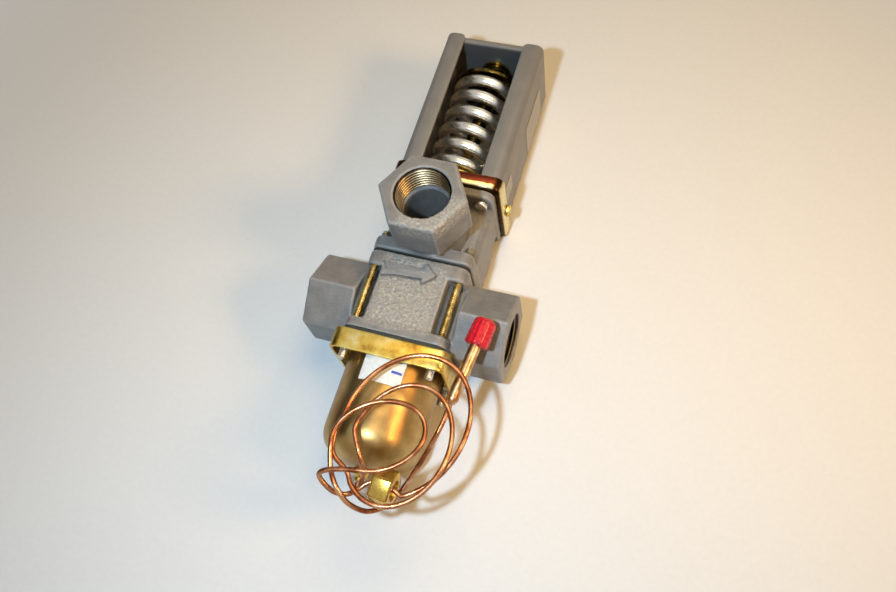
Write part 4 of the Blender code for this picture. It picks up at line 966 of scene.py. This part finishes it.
ferrule = {"radius": ferruleHigh.x, "nose": 2.6, "noseLength": 2.0, "edge": 0.4, "fillet": 1.4, "step": 0.8}
nose, edge, fillet = ferrule["nose"], ferrule["edge"], ferrule["fillet"]
noseTop = ferruleLow.y + ferrule["noseLength"]
profile = [(0, ferruleLow.y), (nose - edge, ferruleLow.y), (nose, ferruleLow.y + edge), (nose, noseTop),
    *bend((ferrule["radius"] - fillet, noseTop + fillet + ferrule["step"]), fillet, -60, 0, 5),
    (ferrule["radius"], ferruleHigh.y), (0, ferruleHigh.y)]
ferrulePiece = smoothOff(turned("capillary_ferrule", profile, 40), 30)
settle(ferrulePiece, turnedBrass, "brass", "cup_ferrule")

print("stage: bolts and screws")
corners = ("left_front", "right_front", "left_back", "right_back")
boltLow, boltHigh = span("body_bolt_left_front")
bolt = {"radius": 2.4, "pitch": 1.058, "depth": 0.42, "nutFlats": 8.0, "nutHeight": 5.2, "nutEdge": 0.45,
    "seat": 3.6, "stand": 9.6, "point": 0.7, "threadGap": 0.4, "threadSteps": 20, "greyFrom": 30.0,
    "brightBelow": 0.2}
seatTop = boltLow.y + bolt["seat"]
nutFoot = seatTop - bolt["nutHeight"]
foot = nutFoot - bolt["stand"]
tip = boltHigh.y - bolt["point"]
root = bolt["radius"] - bolt["depth"]
profile = [(0, foot), (root - bolt["point"], foot), (root, foot + bolt["point"]), (root, seatTop),
    (root, tip), (bolt["radius"] - bolt["point"], boltHigh.y), (0, boltHigh.y)]
boltPiece = turned("body_bolt", profile, 28)
boltNut = added("bolt nut", bpy.ops.mesh.primitive_cylinder_add, vertices=6, depth=bolt["nutHeight"],
    radius=bolt["nutFlats"] / math.sqrt(3), location=(0, nutFoot + bolt["nutHeight"] / 2, 0),
    rotation=(math.pi / 2, 0, 0))
applyPlace(boltNut)
rounded(boltNut, bolt["nutEdge"], 3)
combine(boltPiece, boltNut, "UNION")
cleanUp(boltPiece)
smoothOff(boltPiece, 40)
boltThread = ridge("bolt thread", root, bolt["radius"], seatTop, tip, bolt["pitch"], bolt["threadSteps"])
studThread = ridge("stud end thread", root, bolt["radius"], foot + bolt["threadGap"],
    nutFoot + bolt["threadGap"], bolt["pitch"], bolt["threadSteps"])
joined(boltPiece, boltThread, studThread)
for corner in corners:
    node = "body_bolt_" + corner
    centre = centreOf(node)
    twin = copied(boltPiece, "bolt_" + corner, (centre.x, 0, centre.z))
    settle(twin, rubbedChromate, "yellow_chromate", node)
    twin.data.materials.append(dullZinc)
    twin.data.materials.append(zinc)
    for face in twin.data.polygons:
        up = (face.center.y - home.y) / mm
        face.material_index = 1 if up > bolt["greyFrom"] else 2 if up < seatTop + bolt["brightBelow"] else 0
bpy.data.objects.remove(boltPiece)

pan = {"flat": 0.55, "crown": 0.1, "round": 1.1, "roundLow": 1.3, "edge": 0.2, "thread": 0.35, "point": 0.6,
    "pointRadius": 0.6, "threadGap": 0.4, "pitch": 0.8, "slotHalf": 0.5, "slotDeep": 1.0, "slotReach": 1.2}


def panScrew(name, head, length):
    # head below zero with a slot in its crown, shank running up +Y
    wide, tall = head["radius"], head["height"]
    root = head["shank"] - pan["thread"]
    profile = [(0, -tall), (wide * pan["flat"], -tall + pan["crown"]),
        *bend((wide - pan["round"], -tall + pan["roundLow"]), pan["round"], -80, 0, 6), (wide, -pan["edge"]),
        (wide - pan["edge"], 0), (root, 0), (root, length - pan["point"]),
        (head["shank"] - pan["pointRadius"], length), (0, length)]
    piece = turned(name, profile, 36)
    reach, half, deep = wide * pan["slotReach"], pan["slotHalf"], pan["slotDeep"]
    slot = addBox("slot", (-reach, -tall - deep, -half), (reach, -tall + deep, half))
    combine(piece, slot, "DIFFERENCE")
    cleanUp(piece)
    smoothOff(piece, 40)
    gap = pan["threadGap"]
    return joined(piece, ridge("screw thread", root, head["shank"], gap, length - gap, pan["pitch"], 20))


low, high = span("flange_screw_left_front")
flangeHead = {"radius": (high.x - low.x) / 2, "height": 2.8, "shank": 2.0}
flangeScrew = panScrew("flange_screw", flangeHead, high.y - low.y - flangeHead["height"])
for corner in corners:
    node = "flange_screw_" + corner
    centre = centreOf(node)
    headTop = span(node)[0].y + flangeHead["height"]
    twin = copied(flangeScrew, "screw_" + corner, (centre.x, headTop, centre.z))
    settle(twin, zinc, "bright_zinc", node)
bpy.data.objects.remove(flangeScrew)
low, high = span("side_screw_right")
sideHead = {"radius": (high.z - low.z) / 2, "height": 2.2, "shank": 2.0}
for side, sign in (("left", -1), ("right", 1)):
    node = "side_screw_" + side
    low, high = span(node)
    sideScrew = panScrew("screw_side_" + side, sideHead, high.x - low.x - sideHead["height"])
    crownX = high.x if sign > 0 else low.x
    headFoot = crownX - sign * sideHead["height"]
    aim(sideScrew, (headFoot, *centreOf(node).yz), (-sign, 0, 0))
    settle(sideScrew, chromate, "bright_zinc", node)

print("stage: stub, cap and nut")
stub = {"radius": 3.175, "bore": 2.4, "boreEdge": 0.2, "neck": 2.2, "neckEdge": 0.4, "swell": 2.8, "full": 4,
    "edge": 0.3, "floor": 3.0}
stubLength = (stubHead - stubFoot).length
edge, bore = stub["edge"], stub["bore"]
profile = [(0, 0), (stub["neck"] - stub["neckEdge"], 0), (stub["neck"], stub["neckEdge"]),
    (stub["radius"], stub["swell"]), *rows(stub["radius"], stub["full"], stubLength - edge, 6),
    (stub["radius"] - edge, stubLength), (bore + stub["boreEdge"], stubLength), (bore, stubLength - edge),
    (bore, stub["floor"]), (0, stub["floor"])]
stubPiece = aim(turned("charging_stub", profile, 40), stubFoot, stubHead - stubFoot)
smoothOff(stubPiece)
settle(stubPiece, goldCopper, "copper", "tube_stub")

cap = {"foot": 6.5, "top": 6.1, "length": 15.5, "wall": 2.4, "dome": 3.4, "bore": 3.475,
    "boreEdge": (0.3, 0.4), "hem": ((0, 0.8), (0.5, 0.1), (1.0, 0)), "rows": 8, "ribs": 11, "ribRise": 0.16,
    "ribFrom": 0.8}
roof = cap["length"] - cap["wall"]
domeFoot = cap["length"] - cap["dome"]
profile = [(0, cap["length"]), *bend((cap["top"] - cap["dome"], domeFoot), cap["dome"], 88, 0, 9),
    *[(cap["top"] + (cap["foot"] - cap["top"]) * down, domeFoot * (1 - down))
        for down in evenly(0, 1, cap["rows"])[1:-1]],
    *[(cap["foot"] - inward, up) for inward, up in cap["hem"]], (cap["bore"] + cap["boreEdge"][0], 0),
    (cap["bore"], cap["boreEdge"][1]), (cap["bore"], roof), (0, roof)]
capPiece = turned("shipping_cap", profile, 88)
for point in capPiece.data.vertices:
    r = radiusOf(point)
    if r > cap["bore"] + cap["ribFrom"]:
        setRadius(point, r + cap["ribRise"] * math.cos(cap["ribs"] * math.atan2(point.co.x, point.co.z)))
smoothOff(capPiece, 45)
aim(capPiece, stubHead - stubBack * (tube["clearance"] - roof), stubHead - stubFoot)
settle(capPiece, vinyl, "red_vinyl", "vinyl_cap")

nutEdge = 0.25  # mm
nutPiece = softened("flare_nut", "tube_nut", nutEdge)
settle(nutPiece, turnedBrass, "brass", "flare_nut")

print("stage: labels on the housing")
sideLabels = {"lift": 0.1, "thick": 0.15, "edge": 0.04, "places": {"side_label": ((134, -21), (168, 4)),
    "side_patch": ((88, -6), (100, 9))}}
for name, ((lowY, lowZ), (highY, highZ)) in sideLabels["places"].items():
    wall = houseHigh.x + sideLabels["lift"]
    sticker = addBox(name, (wall, lowY, lowZ), (wall + sideLabels["thick"], highY, highZ))
    rounded(sticker, sideLabels["edge"], 2)
    settle(sticker, agedPaper, "sheet_paint")

print("stage: pieces shown from the frame")
innerFinish = {
    "body_gasket": gasketFibre, "tray_gasket": gasketFibre, "thrust_washer": turnedBrass,
    "bellows": drawnBrass, "valve_stem": stainless, "bellows_plug": stainless,
}
for name, node in frame["nodes"].items():
    if node.type != "MESH":
        continue
    byName = gasketFibre if "disc" in name else stainless if "seat" in name else turnedBrass
    node.data.materials.clear()
    node.data.materials.append(innerFinish.get(name, byName))

print("stage: floor, light and camera")
room = {"ambient": "#EEEEEE", "ambientStrength": 0.05, "shown": "#D8D6D2", "strength": 0.8, "floor": 6,
    "fade": (0.27, 0.62)}


def seenShare(add):
    # one for the rays that reach the eye straight, off a shine or through glass
    rays = add("LightPath")
    seen = rays.outputs["Is Camera Ray"]
    for kind in ("Is Glossy Ray", "Is Transmission Ray"):
        seen = add("Math", {"operation": "MAXIMUM"}, {0: seen, 1: rays.outputs[kind]})
    return seen


# a pale painted table top that fades into the room's own tone far from the valve
floor = added("table_top", bpy.ops.mesh.primitive_plane_add, size=room["floor"], location=(0, 0, 0))
tableTop, add, shader, place = newMaterial("pale table top", Roughness=0.7)
weave = add("TexNoise", {"Scale": grain(3), "Detail": 3}, {"Vector": place})
tone = add("ValToRGB", {"stops": ((0.3, "#E7E6E3"), (0.7, "#EAE9E6"))}, {"Fac": weave})
feed(shader, {"Base Color": tone})
away = add("VectorMath", {"operation": "LENGTH"}, {0: place})
fadeRange = {"interpolation_type": "SMOOTHSTEP", "From Min": room["fade"][0], "From Max": room["fade"][1]}
fade = add("MapRange", fadeRange, {"Value": away})
far = add("Math", times, {0: seenShare(add), 1: fade})
distance = add("Emission", {"Color": room["shown"], "Strength": room["strength"]})
blended = add("MixShader", None, {0: far, 1: shader, 2: distance})
feed(tableTop.node_tree.nodes["Material Output"], {"Surface": blended})
floor.data.materials.append(tableTop)

world = bpy.data.worlds.new("soft room")
bpy.context.scene.world = world
world.use_nodes = True
world.node_tree.nodes.clear()
add = partial(addNode, world.node_tree)
ambient = add("Background", {"Color": room["ambient"], "Strength": room["ambientStrength"]})
shown = add("Background", {"Color": room["shown"], "Strength": room["strength"]})
mixed = add("MixShader", None, {0: seenShare(add), 1: ambient, 2: shown})
add("OutputWorld", None, {"Surface": mixed})


def looking(place, target):
    # a holder's place with its -Z axis turned to the target
    turn = (Vector(target) - Vector(place)).to_track_quat("-Z", "Y")
    return Matrix.Translation(place) @ turn.to_matrix().to_4x4()


camera = {"place": (0.133376, -0.214934, 0.489346), "target": (0.015647, -0.030544, 0.03), "roll": -17.2543,
    "lens": 35.145, "sensor": 36, "nearest": 0.01}
lens = bpy.data.cameras.new("photo lens")
lens.lens = camera["lens"]
lens.sensor_width = camera["sensor"]
lens.clip_start = camera["nearest"]
viewer = placed("photo camera", lens)
view = looking(camera["place"], camera["target"]) @ Matrix.Rotation(math.radians(camera["roll"]), 4, "Z")
viewer.matrix_world = view
bpy.context.scene.camera = viewer

besideLens = Vector((-0.122, 0.018, 0))
lamps = {
    "key beside the lens": {"place": view @ besideLens, "target": (0, -0.03, 0), "size": 0.03, "watts": 2.2,
        "colour": "#CAE6FF", "spread": 180},
    "warm lamp at the right": {"place": (0.62, -0.04, 0.50), "target": (0.02, 0, 0), "size": 0.2,
        "watts": 0.56, "colour": "#FFCE88", "spread": 80},
    "soft lamp overhead": {"place": (0.15, 0.35, 0.95), "target": (0, 0, 0), "size": 0.6, "watts": 4.2,
        "colour": "#FFDEA6", "spread": 180},
}
for name, lamp in lamps.items():
    light = bpy.data.lights.new(name, "AREA")
    light.shape = "DISK"
    light.size = lamp["size"]
    light.energy = lamp["watts"]
    light.spread = math.radians(lamp["spread"])
    light.color = linear(lamp["colour"])[:3]
    placed(name, light).matrix_world = looking(lamp["place"], lamp["target"])

# a black cloth seen only in reflections
flagAt = {"location": (-0.62, 0, 0.22), "rotation": (0, math.radians(90), 0), "scale": (0.44, 1.6, 1)}
flag = added("dark flag at the left", bpy.ops.mesh.primitive_plane_add, size=1, **flagAt)
flagCloth = patchy("black flag cloth", ((0.3, "#16150F"), (0.7, "#221F1A")), ((20, 2, 0.5),), Roughness=0.9)
flag.data.materials.append(flagCloth)
for ray in ("camera", "diffuse", "transmission", "shadow"):
    setattr(flag, "visible_" + ray, False)
bpy.context.scene.view_settings.view_transform = "Standard"
